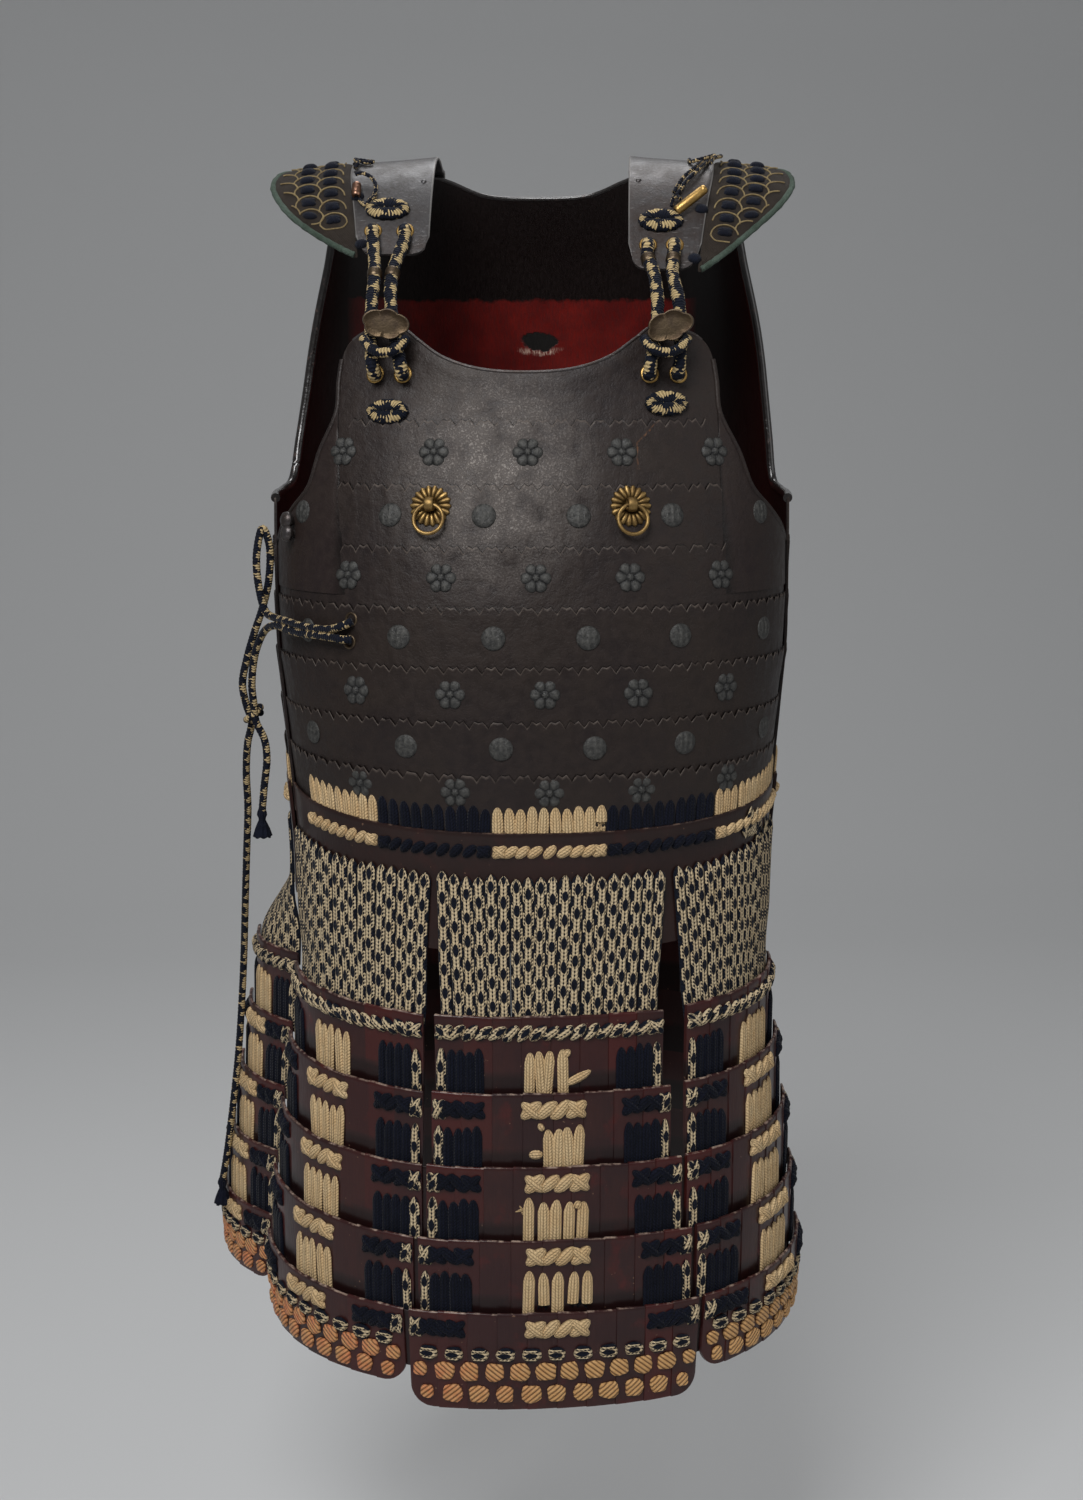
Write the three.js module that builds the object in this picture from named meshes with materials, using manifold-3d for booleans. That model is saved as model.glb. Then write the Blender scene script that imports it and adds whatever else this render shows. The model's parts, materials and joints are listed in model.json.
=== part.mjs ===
// Lamellar armour: an iron cuirass with shoulder straps and a laced skirt of seven hanging panels.
// Millimetres, +Z up, -Y the wearer's front, +X the wearer's left (names end in L), -X the right (R).
// The origin is midway between the shoulder straps, where the wearer's shoulders carry the armour.

import * as THREE from "three";
import { mergeVertices } from "three/addons/utils/BufferGeometryUtils.js";
import Module from "manifold-3d";

const { clamp, degToRad, lerp, smoothstep } = THREE.MathUtils;
const vector = (x, y, z) => new THREE.Vector3(x, y, z);

// ---------------------------------------------------------------- driving dimensions

// Horizontal sections of the trunk and skirt, hem to shoulder.
const SECTIONS = [
  { z: -850, half_width: 200, front_depth: 172, back_depth: 148 },
  { z: -810, half_width: 197, front_depth: 169, back_depth: 146 },
  { z: -750, half_width: 191, front_depth: 164, back_depth: 140 },
  { z: -690, half_width: 184, front_depth: 158, back_depth: 132 },
  { z: -630, half_width: 176, front_depth: 152, back_depth: 126 },
  { z: -575, half_width: 170, front_depth: 146, back_depth: 120 },
  { z: -530, half_width: 167, front_depth: 140, back_depth: 114 },
  { z: -480, half_width: 168, front_depth: 140, back_depth: 114 },
  { z: -440, half_width: 171, front_depth: 143, back_depth: 120 },
  { z: -380, half_width: 176, front_depth: 146, back_depth: 128 },
  { z: -320, half_width: 180, front_depth: 144, back_depth: 134 },
  { z: -260, half_width: 180, front_depth: 134, back_depth: 136 },
  { z: -200, half_width: 179, front_depth: 116, back_depth: 134 },
  { z: -146, half_width: 176, front_depth: 97, back_depth: 128 },
  { z: -115, half_width: 172, front_depth: 88, back_depth: 122 },
  { z: -60, half_width: 160, front_depth: 84, back_depth: 108 },
  { z: 0, half_width: 146, front_depth: 74, back_depth: 82 },
];
const SECTION_POWER = 2.3; // 2 is an ellipse, more is squarer

// The chest turns a little to the wearer's right above the waist, where the two plates hang askew.
const CHEST_TURN = { degrees: 7.5, from_z: -450, to_z: -100 };

const PLATE_WALL = 2; // iron of the two body plates
const PLATE_BOTTOM = -470;
const SIDE_RISE = 20; // how far the waist line climbs at the wearer's sides
const BACK_STEP = 3.2; // the back plate lies this far outside the front plate
const WAIST_LAME = { top: -449, bottom: -530, wall: 2.2, gap: 0.8, front_end: 80.5, end_gap: 1.5 };

// Top edge of each plate: height at an angle from the middle of that plate.
const FRONT_TOP_EDGE = [
  { angle: 0, z: -146 },
  { angle: 8, z: -143.5 },
  { angle: 15, z: -136 },
  { angle: 21, z: -124.5 },
  { angle: 26, z: -116 },
  { angle: 33, z: -117 },
  { angle: 38.5, z: -122 },
  { angle: 42, z: -131 },
  { angle: 43.4, z: -150 },
  { angle: 43.8, z: -172 },
  { angle: 50, z: -199 },
  { angle: 54.8, z: -222 },
  { angle: 63, z: -236 },
  { angle: 71.8, z: -248 },
  { angle: 79, z: -258 },
  { angle: 86, z: -265 },
];
const BACK_TOP_EDGE = [
  { angle: 0, z: -17 },
  { angle: 12, z: -15 },
  { angle: 22, z: -6 },
  { angle: 27, z: -3 },
  { angle: 40, z: -8 },
  { angle: 52, z: -18 },
  { angle: 61, z: -30 },
  { angle: 65, z: -45 },
  { angle: 65.5, z: -70 },
  { angle: 66.5, z: -110 },
  { angle: 68, z: -150 },
  { angle: 71, z: -190 },
  { angle: 75, z: -222 },
  { angle: 82, z: -228 },
  { angle: 90, z: -230 },
  { angle: 98, z: -232 },
];

const TIERS = [
  { top: -573, bottom: -635 },
  { top: -625, bottom: -687 },
  { top: -675, bottom: -737 },
  { top: -725, bottom: -787 },
  { top: -775, bottom: null }, // down to the panel's hem
];
const even = (angle) => TIERS.map(() => angle);

// Skirt panels by angle from the front middle, counted towards the wearer's left. Each edge is given
// tier by tier, because the front panels fan out to their hems, and the edges of the lacing curtain
// at its foot and at its top. The panel at the open side has swung out about its front edge.
const PANELS = [
  {
    name: "front_centre",
    from: [-23, -23, -23.4, -24.6, -26],
    to: [23.2, 24, 25.6, 27, 27.8],
    lace_from: [-21.7, -22.8],
    lace_to: [22.4, 24.2],
    hem: -844,
    swing: 0,
  },
  {
    name: "front_L",
    from: [29.5, 27.8, 26.8, 28.2, 29.2],
    to: even(84),
    lace_from: [30.4, 26.2],
    lace_to: [80, 80],
    hem: -830,
    swing: 0,
  },
  {
    name: "front_R",
    from: even(-84),
    to: [-26, -25.2, -24.6, -25.8, -27.4],
    lace_from: [-80, -80],
    lace_to: [-26.6, -24],
    hem: -830,
    swing: 0,
  },
  {
    name: "side_L",
    from: even(92),
    to: even(133),
    lace_from: [93, 93],
    lace_to: [132, 132],
    hem: -830,
    swing: 0,
  },
  {
    name: "back_L",
    from: even(136),
    to: even(177),
    lace_from: [137, 137],
    lace_to: [176, 176],
    hem: -830,
    swing: 0,
  },
  {
    name: "back_R",
    from: even(183),
    to: even(224),
    lace_from: [184, 184],
    lace_to: [223, 223],
    hem: -830,
    swing: 0,
  },
  {
    name: "side_R",
    from: even(227),
    to: even(268),
    lace_from: [228, 228],
    lace_to: [267, 267],
    hem: -830,
    swing: 47,
  },
];
const BACK_FROM = 90; // angle past which a panel hangs below the back plate
const SWING = { from_z: -565, to_z: -485 };
const LAME = { wall: 2.2, out_at_top: 6, out_at_bottom: -1.5, corner: 16 };
const SIDE_LIFT = { height: 7, from: 26.5, to: 84 }; // tiers and hem climb between these angles
const CURTAIN = { wall: 2.8, top: -479, tuck: 10, clearance: 0.9 };
// How far out the curtain's face hangs at a share of its height; null is over the waist lame.
const CURTAIN_HANG = [
  { height: 0, out: 2 },
  { height: 0.1, out: 2.6 },
  { height: 0.18, out: 3.2 },
  { height: 0.5, out: null },
  { height: 1, out: null },
];

// Shoulder strap's underside from its front end to the crest, inner edge and outer edge.
const STRAP_INNER_X = 69;
const STRAP_PATH = [
  { inner_y: -46, inner_z: -66, outer_x: 116, outer_y: -46, outer_z: -66 },
  { inner_y: -28, inner_z: -38, outer_x: 120, outer_y: -28, outer_z: -38 },
  { inner_y: -4, inner_z: -12, outer_x: 125, outer_y: -4, outer_z: -12 },
  { inner_y: 20, inner_z: 2, outer_x: 126, outer_y: 20, outer_z: -1 },
  { inner_y: 44, inner_z: 5, outer_x: 126, outer_y: 42, outer_z: -4 },
  { inner_y: 68, inner_z: 1, outer_x: 126, outer_y: 58, outer_z: -9 },
];
const STRAP = { wall: 2.2, width: 47, length: 170, corner: 12, edge_share: 0.01, reach: 0.01 };
// Where the strap's rear end lies on the back plate: angles, and heights over and under its top edge.
const STRAP_SEAT = { from: 24, to: 51, over: 2, under: 20, out: 1 };
const WING = { reach: 60, end_reach: 5, fullness: 0.6, above: 3, below: 1, droop: 0.1, clearance: 0.8 };

const SHOULDER_CORD = { diameter: 9, sides: 8 };
const CORD_CUTS = { most: 80, diameters_apart: 2 };
// One strand up from the chest, over the strap's front end in a loop, and down again.
const SHOULDER_CORD_ROUTE = [
  { x: 101, y: -86.5, z: -147 },
  { x: 101.2, y: -93.2, z: -147 },
  { x: 102, y: -96, z: -140 },
  { x: 103, y: -90.5, z: -124 },
  { x: 104.5, y: -80, z: -100 },
  { x: 105, y: -66, z: -80 },
  { x: 104.5, y: -55.5, z: -63 },
  { x: 103.5, y: -41.2, z: -42 },
  { x: 101, y: -32, z: -30 },
  { x: 94, y: -26.7, z: -24.5 },
  { x: 87, y: -32, z: -30 },
  { x: 84.5, y: -41.2, z: -42 },
  { x: 86, y: -55.5, z: -63 },
  { x: 88, y: -66, z: -80 },
  { x: 89, y: -80, z: -100 },
  { x: 86, y: -92.5, z: -124 },
  { x: 83, y: -100.5, z: -140 },
  { x: 82, y: -98.5, z: -147 },
  { x: 82, y: -92, z: -147 },
];
const TOGGLE = { x: 95.5, y: -99.3, z: -116 };
const TOGGLE_SHAPE = { half_length: 17, half_height: 11, thickness: 3, lobes: 6, lobe_depth: 0.06 };

const RING = { angle: 18.3, z: -233, major: 9.9, wire: 1.3, hole: 2.3, lug: 4.4, lug_width: 5 };
const WASHER = { radius: 13.4, petals: 18, petal_depth: 0.7, thickness: 1.5, gap: 0.3 };
const FRAME_STEP = { degrees: 0.5, z: 5 }; // reach of the small steps that give the plate's slope
const RING_HEIGHT = 5.2; // middle of the ring's wire above the plate

const TIE_CORD = { diameter: 5.4, sides: 8 };
// Tassel's profile from its foot to its neck, with the cord's end at height 0.
const TASSEL = [
  { radius: 0, height: -18 },
  { radius: 5.2, height: -18 },
  { radius: 3, height: -5 },
  { radius: 3.3, height: -2 },
  { radius: 2, height: 2 },
  { radius: 0, height: 2 },
];
// From the upper chest eyelet round the side, up into a loop, down through the knot to the hem.
const TIE_CORD_LONG = [
  { x: -129, y: -111, z: -309 },
  { x: -135, y: -110, z: -311 },
  { x: -144, y: -103, z: -313 },
  { x: -154.5, y: -92.5, z: -314 },
  { x: -165.5, y: -80.5, z: -314 },
  { x: -173, y: -70, z: -313.5 },
  { x: -181, y: -57, z: -313 },
  { x: -188.5, y: -47, z: -309 },
  { x: -193.5, y: -45, z: -288 },
  { x: -193.8, y: -46, z: -267 },
  { x: -189.5, y: -46, z: -251 },
  { x: -185.3, y: -45, z: -262 },
  { x: -186, y: -41, z: -285 },
  { x: -191, y: -35, z: -306 },
  { x: -198, y: -29, z: -326 },
  { x: -203.5, y: -26, z: -344 },
  { x: -207, y: -24, z: -362 },
  { x: -204.5, y: -21, z: -378 },
  { x: -201.5, y: -18, z: -389 },
  { x: -205, y: -12, z: -406 },
  { x: -207, y: -2, z: -428 },
  { x: -207, y: 8, z: -456 },
  { x: -209, y: 20, z: -486 },
  { x: -211, y: 32, z: -514 },
  { x: -213, y: 44, z: -544 },
  { x: -215, y: 54, z: -576 },
  { x: -217.5, y: 59, z: -612 },
  { x: -221, y: 56, z: -655 },
  { x: -226.5, y: 54, z: -700 },
  { x: -232, y: 54, z: -738 },
  { x: -236, y: 56, z: -760 },
];
// From the lower eyelet beside it, through the same knot, to a short end.
const TIE_CORD_SHORT = [
  { x: -129.5, y: -112.5, z: -321 },
  { x: -135, y: -111.5, z: -322 },
  { x: -144, y: -104, z: -323 },
  { x: -154.5, y: -93, z: -324 },
  { x: -165, y: -81.5, z: -325 },
  { x: -173, y: -71, z: -325 },
  { x: -181, y: -59, z: -324 },
  { x: -189, y: -47, z: -326 },
  { x: -195.5, y: -38, z: -334 },
  { x: -198.5, y: -34, z: -346 },
  { x: -200, y: -33, z: -362 },
  { x: -199, y: -30, z: -376 },
  { x: -198, y: -27, z: -388 },
  { x: -192.5, y: -26, z: -401 },
  { x: -191, y: -25, z: -415 },
  { x: -193.5, y: -22, z: -436 },
  { x: -195.5, y: -20, z: -455 },
];

// Facets and cuts of the curved solids.
const FACETS = { plate: 12, waist: 24, waist_up: 3, strap: 14, wing: 16, wing_across: 4, toggle: 48 };
const RING_FACETS = { petal: 4, lug: 16, wire: 8, ring: 28, tassel: 12 };
const SKIRT_FACETS = { lame: 10, lame_up: 2, curtain: 8 };
const STRAP_COLUMNS = [0, 0.05, 0.14, 0.3, 0.5, 0.7, 0.86, 0.95, 1];
const HEM_COLUMNS = [0, 0.012, 0.035, 0.07, 0.18, 0.34, 0.5, 0.66, 0.82, 0.93, 0.965, 0.988, 1];
const MERGE_DISTANCE = 1e-4;

const FINISHES = {
  russet_iron: { color: 0x3a302c, roughness: 0.55, metalness: 0.6 },
  grey_iron: { color: 0x77777a, roughness: 0.45, metalness: 0.9 },
  red_lacquer: { color: 0x3d2220, roughness: 0.3, metalness: 0 },
  brass: { color: 0x9a7a45, roughness: 0.4, metalness: 1 },
  navy_cream_braid: { color: 0x8a8170, roughness: 0.85, metalness: 0 },
  quilted_cloth: { color: 0x4c4034, roughness: 0.9, metalness: 0 },
};

// ---------------------------------------------------------------- tables and the body form

/** Reads one column of a table between its rows; the rows climb in the key column. */
function lookUp(rows, key, at, name) {
  const found = rows.findIndex((row) => row[key] >= at);
  const upper = found < 0 ? rows.length - 1 : Math.max(found, 1);
  const low = rows[upper - 1];
  const high = rows[upper];
  const share = clamp((at - low[key]) / (high[key] - low[key]), 0, 1);
  return lerp(low[name], high[name], share);
}

/** Turns a point with the chest. */
function worn(point) {
  const share = smoothstep(point.z, CHEST_TURN.from_z, CHEST_TURN.to_z);
  return point.applyAxisAngle(vector(0, 0, 1), -degToRad(CHEST_TURN.degrees) * share);
}

/** A point of the body form at an angle from the front middle, at a height, moved outward. */
function onBody(degrees, z, out) {
  const sine = Math.sin(degToRad(degrees));
  const cosine = Math.cos(degToRad(degrees));
  const half_width = lookUp(SECTIONS, "z", z, "half_width") + out;
  const depth = lookUp(SECTIONS, "z", z, cosine > 0 ? "front_depth" : "back_depth") + out;
  const bend = (share) => Math.sign(share) * Math.abs(share) ** (2 / SECTION_POWER);
  return worn(vector(half_width * bend(sine), -depth * bend(cosine), z));
}

const sideRise = (degrees) => SIDE_RISE * (1 - Math.abs(Math.cos(degToRad(degrees))));

const steps = (count) => Array.from({ length: count + 1 }, (_, index) => index / count);

// ---------------------------------------------------------------- closed solids

/** Indexed triangles as a geometry whose faces point out, whichever hand it was built on. */
function closedBody(points, triangles) {
  const volume = triangles.reduce((sum, [a, b, c]) => {
    const cross = points[b].clone().cross(points[c]);
    return sum + points[a].dot(cross);
  }, 0);
  const facing = volume < 0 ? triangles.map(([a, b, c]) => [a, c, b]) : triangles;
  const geometry = new THREE.BufferGeometry().setFromPoints(points);
  geometry.setIndex(facing.flat());
  geometry.computeVertexNormals();
  return geometry;
}

/** A wall over a grid of shares across and up; face(u, v, side) is the outer (0) or inner (1) skin. */
function wall(across, up, face) {
  const points = [];
  for (const side of [0, 1]) {
    for (const u of across) {
      for (const v of up) points.push(face(u, v, side));
    }
  }
  const at = (side, i, j) => (side * across.length + i) * up.length + j;
  const triangles = [];
  const quad = (a, b, c, d) => triangles.push([a, b, c], [a, c, d]);
  const lastAcross = across.length - 1;
  const lastUp = up.length - 1;
  for (let i = 0; i < lastAcross; i += 1) {
    for (let j = 0; j < lastUp; j += 1) {
      quad(at(0, i, j), at(0, i + 1, j), at(0, i + 1, j + 1), at(0, i, j + 1));
      quad(at(1, i, j), at(1, i, j + 1), at(1, i + 1, j + 1), at(1, i + 1, j));
    }
    quad(at(0, i + 1, 0), at(0, i, 0), at(1, i, 0), at(1, i + 1, 0));
    quad(at(0, i, lastUp), at(0, i + 1, lastUp), at(1, i + 1, lastUp), at(1, i, lastUp));
  }
  for (let j = 0; j < lastUp; j += 1) {
    quad(at(0, 0, j), at(0, 0, j + 1), at(1, 0, j + 1), at(1, 0, j));
    quad(at(0, lastAcross, j + 1), at(0, lastAcross, j), at(1, lastAcross, j), at(1, lastAcross, j + 1));
  }
  return closedBody(points, triangles);
}

/** A round cord swept along a smooth curve through the route's points. */
function cordAlong(points, { diameter, sides }) {
  const curve = new THREE.CatmullRomCurve3(points, false, "centripetal");
  const corners = steps(sides).slice(1).map((share) => {
    const angle = share * 2 * Math.PI;
    return new THREE.Vector2(Math.cos(angle), Math.sin(angle)).multiplyScalar(diameter / 2);
  });
  const cuts = Math.round(curve.getLength() / (diameter * CORD_CUTS.diameters_apart));
  return new THREE.ExtrudeGeometry(new THREE.Shape(corners), {
    steps: Math.min(CORD_CUTS.most, cuts),
    extrudePath: curve,
  });
}

const wasm = await Module();
wasm.setup();

/** The solid that a closed geometry bounds. */
function solidOf(geometry) {
  const bare = geometry.clone();
  bare.deleteAttribute("normal");
  bare.deleteAttribute("uv");
  const merged = mergeVertices(bare, MERGE_DISTANCE);
  const vertProperties = new Float32Array(merged.attributes.position.array);
  const triVerts = new Uint32Array(merged.index.array);
  return new wasm.Manifold(new wasm.Mesh({ numProp: 3, vertProperties, triVerts }));
}

/** Two overlapping closed geometries joined into one. */
function joined(first, second) {
  const mesh = solidOf(first).add(solidOf(second)).getMesh();
  const geometry = new THREE.BufferGeometry();
  geometry.setAttribute("position", new THREE.BufferAttribute(mesh.vertProperties, 3));
  geometry.setIndex(new THREE.BufferAttribute(mesh.triVerts, 1));
  geometry.computeVertexNormals();
  return geometry;
}

function piece(name, geometry, finish) {
  const mesh = new THREE.Mesh(geometry, new THREE.MeshStandardMaterial(FINISHES[finish]));
  mesh.name = name;
  return mesh;
}

// ---------------------------------------------------------------- cuirass

/** Angles of both halves of an edge table, left to right. */
function edgeAngles(edge) {
  const half = edge.map((row) => row.angle);
  return [...half.slice(1).reverse().map((angle) => -angle), ...half];
}

function bodyPlate(name, edge, middle, out) {
  const across = edgeAngles(edge);
  const geometry = wall(across, steps(FACETS.plate), (angle, v, side) => {
    const top = lookUp(edge, "angle", Math.abs(angle), "z");
    const bottom = PLATE_BOTTOM + sideRise(angle);
    return onBody(middle + angle, lerp(bottom, top, v), out - side * PLATE_WALL);
  });
  return piece(name, geometry, "russet_iron");
}

/** The lame below each plate's lowest row, which carries the skirt's lacing. */
function waistLame(name, from, to, plateOut) {
  const across = steps(FACETS.waist).map((share) => lerp(from, to, share));
  const out = plateOut + WAIST_LAME.gap + WAIST_LAME.wall;
  const geometry = wall(across, steps(FACETS.waist_up), (angle, v, side) => {
    const z = lerp(WAIST_LAME.bottom, WAIST_LAME.top, v) + sideRise(angle);
    return onBody(angle, z, out - side * WAIST_LAME.wall);
  });
  return piece(name, geometry, "red_lacquer");
}

// ---------------------------------------------------------------- shoulders

/** How far a rounded corner cuts back an edge at a share across a piece of that width. */
function cornerCut(share, width, radius) {
  const fromEnd = Math.min(share, 1 - share) * width;
  return fromEnd >= radius ? 0 : radius - Math.sqrt(radius ** 2 - (radius - fromEnd) ** 2);
}

/** The strap's underside: across from its inner edge, along from its front end to its seat. */
function strapUnderside(side, across, along) {
  const cut = cornerCut(across, STRAP.width, STRAP.corner) / STRAP.length;
  const rows = [
    ...STRAP_PATH.map((row) => worn(vector(
      side * lerp(STRAP_INNER_X, row.outer_x, across),
      lerp(row.inner_y, row.outer_y, across),
      lerp(row.inner_z, row.outer_z, across),
    ))),
    ...[STRAP_SEAT.over, -STRAP_SEAT.under].map((height) => {
      const angle = lerp(STRAP_SEAT.from, STRAP_SEAT.to, across);
      const z = lookUp(BACK_TOP_EDGE, "angle", angle, "z") + height;
      return onBody(180 - side * angle, z, BACK_STEP + STRAP_SEAT.out);
    }),
  ];
  const place = lerp(cut, 1, along) * (rows.length - 1);
  const row = Math.min(Math.floor(place), rows.length - 2);
  return rows[row].clone().lerp(rows[row + 1], place - row);
}

/** The strap's skin at a height over its underside, square to it. */
function strapSkin(side, across, along, height) {
  const { reach } = STRAP;
  const right = strapUnderside(side, across + reach, along);
  const left = strapUnderside(side, across - reach, along);
  const ahead = strapUnderside(side, across, Math.min(along + reach, 1));
  const behind = strapUnderside(side, across, Math.max(along - reach, 0));
  const normal = right.sub(left).cross(ahead.sub(behind)).normalize();
  return strapUnderside(side, across, along).addScaledVector(normal, side * height);
}

function shoulderStrap(name, side) {
  const geometry = wall(STRAP_COLUMNS, steps(FACETS.strap), (u, v, inner) => {
    const kept = clamp(u, STRAP.edge_share, 1 - STRAP.edge_share);
    return strapSkin(side, kept, v, inner ? 0 : STRAP.wall);
  });
  return piece(name, geometry, "grey_iron");
}

/** The half-round wing that hangs off the strap's outer edge. */
function shoulderWing(name, side) {
  const geometry = wall(steps(FACETS.wing_across), steps(FACETS.wing), (u, v, lower) => {
    const place = v * (STRAP_PATH.length - 1);
    const row = Math.min(Math.floor(place), STRAP_PATH.length - 2);
    const read = (column) => lerp(STRAP_PATH[row][column], STRAP_PATH[row + 1][column], place - row);
    const bulge = Math.sin(Math.PI * v) ** WING.fullness;
    const reach = WING.clearance + u * (WING.end_reach + WING.reach * bulge);
    const lift = lower ? -WING.below : WING.above;
    const z = read("outer_z") - WING.droop * reach + lift;
    return worn(vector(side * (read("outer_x") + reach), read("outer_y"), z));
  });
  return piece(name, geometry, "quilted_cloth");
}

function shoulderCord(name, side) {
  const points = SHOULDER_CORD_ROUTE.map(({ x, y, z }) => worn(vector(side * x, y, z)));
  return piece(name, cordAlong(points, SHOULDER_CORD), "navy_cream_braid");
}

/** A cloud-shaped plate that lies across both strands of a shoulder cord. */
function shoulderToggle(name, side) {
  const outline = steps(FACETS.toggle).slice(1).map((share) => {
    const angle = share * 2 * Math.PI;
    const swell = 1 + TOGGLE_SHAPE.lobe_depth * Math.cos(TOGGLE_SHAPE.lobes * angle);
    return new THREE.Vector2(
      TOGGLE_SHAPE.half_length * swell * Math.cos(angle),
      TOGGLE_SHAPE.half_height * swell * Math.sin(angle),
    );
  });
  const geometry = new THREE.ExtrudeGeometry(new THREE.Shape(outline), {
    depth: TOGGLE_SHAPE.thickness,
    bevelEnabled: false,
  });
  const mesh = piece(name, geometry, "brass");
  mesh.position.copy(worn(vector(side * TOGGLE.x, TOGGLE.y, TOGGLE.z)));
  mesh.rotation.set(Math.PI / 2, 0, -degToRad(CHEST_TURN.degrees), "ZYX");
  return mesh;
}

// ---------------------------------------------------------------- chest rings

/** A frame on the plate: x across, y up the plate, z outward. */
function chestFrame(angle, z) {
  const group = new THREE.Group();
  const { degrees, z: climb } = FRAME_STEP;
  const across = onBody(angle + degrees, z, 0).sub(onBody(angle - degrees, z, 0)).normalize();
  const upward = onBody(angle, z + climb, 0).sub(onBody(angle, z - climb, 0));
  const outward = across.clone().cross(upward).normalize();
  const basis = new THREE.Matrix4().makeBasis(across, outward.clone().cross(across), outward);
  group.quaternion.setFromRotationMatrix(basis);
  group.position.copy(onBody(angle, z, 0));
  return group;
}

/** A petalled washer with a lug whose hole runs across the chest. */
function ringMount(name) {
  const outline = steps(WASHER.petals * RING_FACETS.petal).slice(1).map((share) => {
    const angle = share * 2 * Math.PI;
    const radius = WASHER.radius + WASHER.petal_depth * Math.cos(WASHER.petals * angle);
    return new THREE.Vector2(Math.cos(angle), Math.sin(angle)).multiplyScalar(radius);
  });
  const washer = new THREE.ExtrudeGeometry(new THREE.Shape(outline), {
    depth: WASHER.thickness,
    bevelEnabled: false,
  }).translate(0, 0, WASHER.gap);
  const eye = new THREE.Shape().absarc(0, 0, RING.lug, 0, 2 * Math.PI);
  eye.holes.push(new THREE.Path().absarc(0, 0, RING.hole, 0, 2 * Math.PI, true));
  const lug = new THREE.ExtrudeGeometry(eye, {
    depth: RING.lug_width,
    bevelEnabled: false,
    curveSegments: RING_FACETS.lug,
  })
    .translate(0, 0, -RING.lug_width / 2)
    .rotateY(Math.PI / 2)
    .translate(0, 0, RING_HEIGHT);
  return piece(name, joined(washer, lug), "brass");
}

function ring(name) {
  const torus = new THREE.TorusGeometry(RING.major, RING.wire, RING_FACETS.wire, RING_FACETS.ring);
  const mesh = piece(name, torus, "brass");
  mesh.position.set(0, -RING.major, RING_HEIGHT);
  return mesh;
}

// ---------------------------------------------------------------- side tie

/** A free cord that ends in a small tassel. */
function tieCord(name, route) {
  const points = route.map(({ x, y, z }) => vector(x, y, z));
  const end = points.at(-1);
  const profile = TASSEL.map(({ radius, height }) => new THREE.Vector2(radius, height));
  const tassel = new THREE.LatheGeometry(profile, RING_FACETS.tassel)
    .rotateX(Math.PI / 2)
    .translate(end.x, end.y, end.z);
  return piece(name, joined(cordAlong(points, TIE_CORD), tassel), "navy_cream_braid");
}

// ---------------------------------------------------------------- skirt

/** A point of a hanging panel, which turns about its front edge where it has swung out. */
function onPanel(panel, angle, z, out) {
  const point = onBody(angle, z, out);
  const swing = degToRad(panel.swing) * (1 - smoothstep(z, SWING.from_z, SWING.to_z));
  const hinge = onBody(panel.to[0], z, 0);
  return point.sub(hinge).applyAxisAngle(vector(0, 0, 1), swing).add(hinge);
}

/** Tiers and hem climb a little towards the sides. */
function sideLift(angle) {
  const fromFront = Math.min(Math.abs(angle), 360 - Math.abs(angle));
  return SIDE_LIFT.height * clamp((fromFront - SIDE_LIFT.from) / (SIDE_LIFT.to - SIDE_LIFT.from), 0, 1);
}

/** The lacing that hangs from the waist and tucks in behind a panel's first lame. */
function lacingCurtain(panel) {
  const waistOut = WAIST_LAME.gap + WAIST_LAME.wall + (panel.from[0] > BACK_FROM ? BACK_STEP : 0);
  const over = waistOut + CURTAIN.clearance + CURTAIN.wall;
  const hang = CURTAIN_HANG.map(({ height, out }) => ({ height, out: out ?? over }));
  const geometry = wall(steps(SKIRT_FACETS.curtain), hang.map((row) => row.height), (u, v, side) => {
    const angle = lerp(lerp(...panel.lace_from, v), lerp(...panel.lace_to, v), u);
    const bottom = TIERS[0].top - CURTAIN.tuck + sideLift(angle);
    const top = CURTAIN.top + sideRise(angle);
    const out = lookUp(hang, "height", v, "out") - side * CURTAIN.wall;
    return onPanel(panel, angle, lerp(bottom, top, v), out);
  });
  return piece(`curtain_${panel.name}`, geometry, "navy_cream_braid");
}

/** One lacquered lame: its top leans out over the lame above, and the last has round corners. */
function lame(panel, index) {
  const tier = TIERS[index];
  const last = tier.bottom === null;
  const from = panel.from[index];
  const to = panel.to[index];
  const width = onBody(from, tier.top, 0).distanceTo(onBody(to, tier.top, 0));
  const across = last ? HEM_COLUMNS : steps(SKIRT_FACETS.lame);
  const geometry = wall(across, steps(SKIRT_FACETS.lame_up), (u, v, side) => {
    const angle = lerp(from, to, u);
    const bottom = last ? panel.hem + cornerCut(u, width, LAME.corner) : tier.bottom;
    const out = lerp(LAME.out_at_bottom, LAME.out_at_top, v) - side * LAME.wall;
    return onPanel(panel, angle, lerp(bottom, tier.top, v) + sideLift(angle), out);
  });
  return piece(`lame_${panel.name}_${index + 1}`, geometry, "red_lacquer");
}

// ---------------------------------------------------------------- assembly

const armour = new THREE.Group();

armour.add(
  bodyPlate("front_plate", FRONT_TOP_EDGE, 0, 0),
  bodyPlate("back_plate", BACK_TOP_EDGE, 180, BACK_STEP),
  waistLame("waist_lame_front", -WAIST_LAME.front_end, WAIST_LAME.front_end, 0),
  waistLame(
    "waist_lame_back",
    WAIST_LAME.front_end + WAIST_LAME.end_gap,
    360 - WAIST_LAME.front_end - WAIST_LAME.end_gap,
    BACK_STEP,
  ),
);

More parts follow.
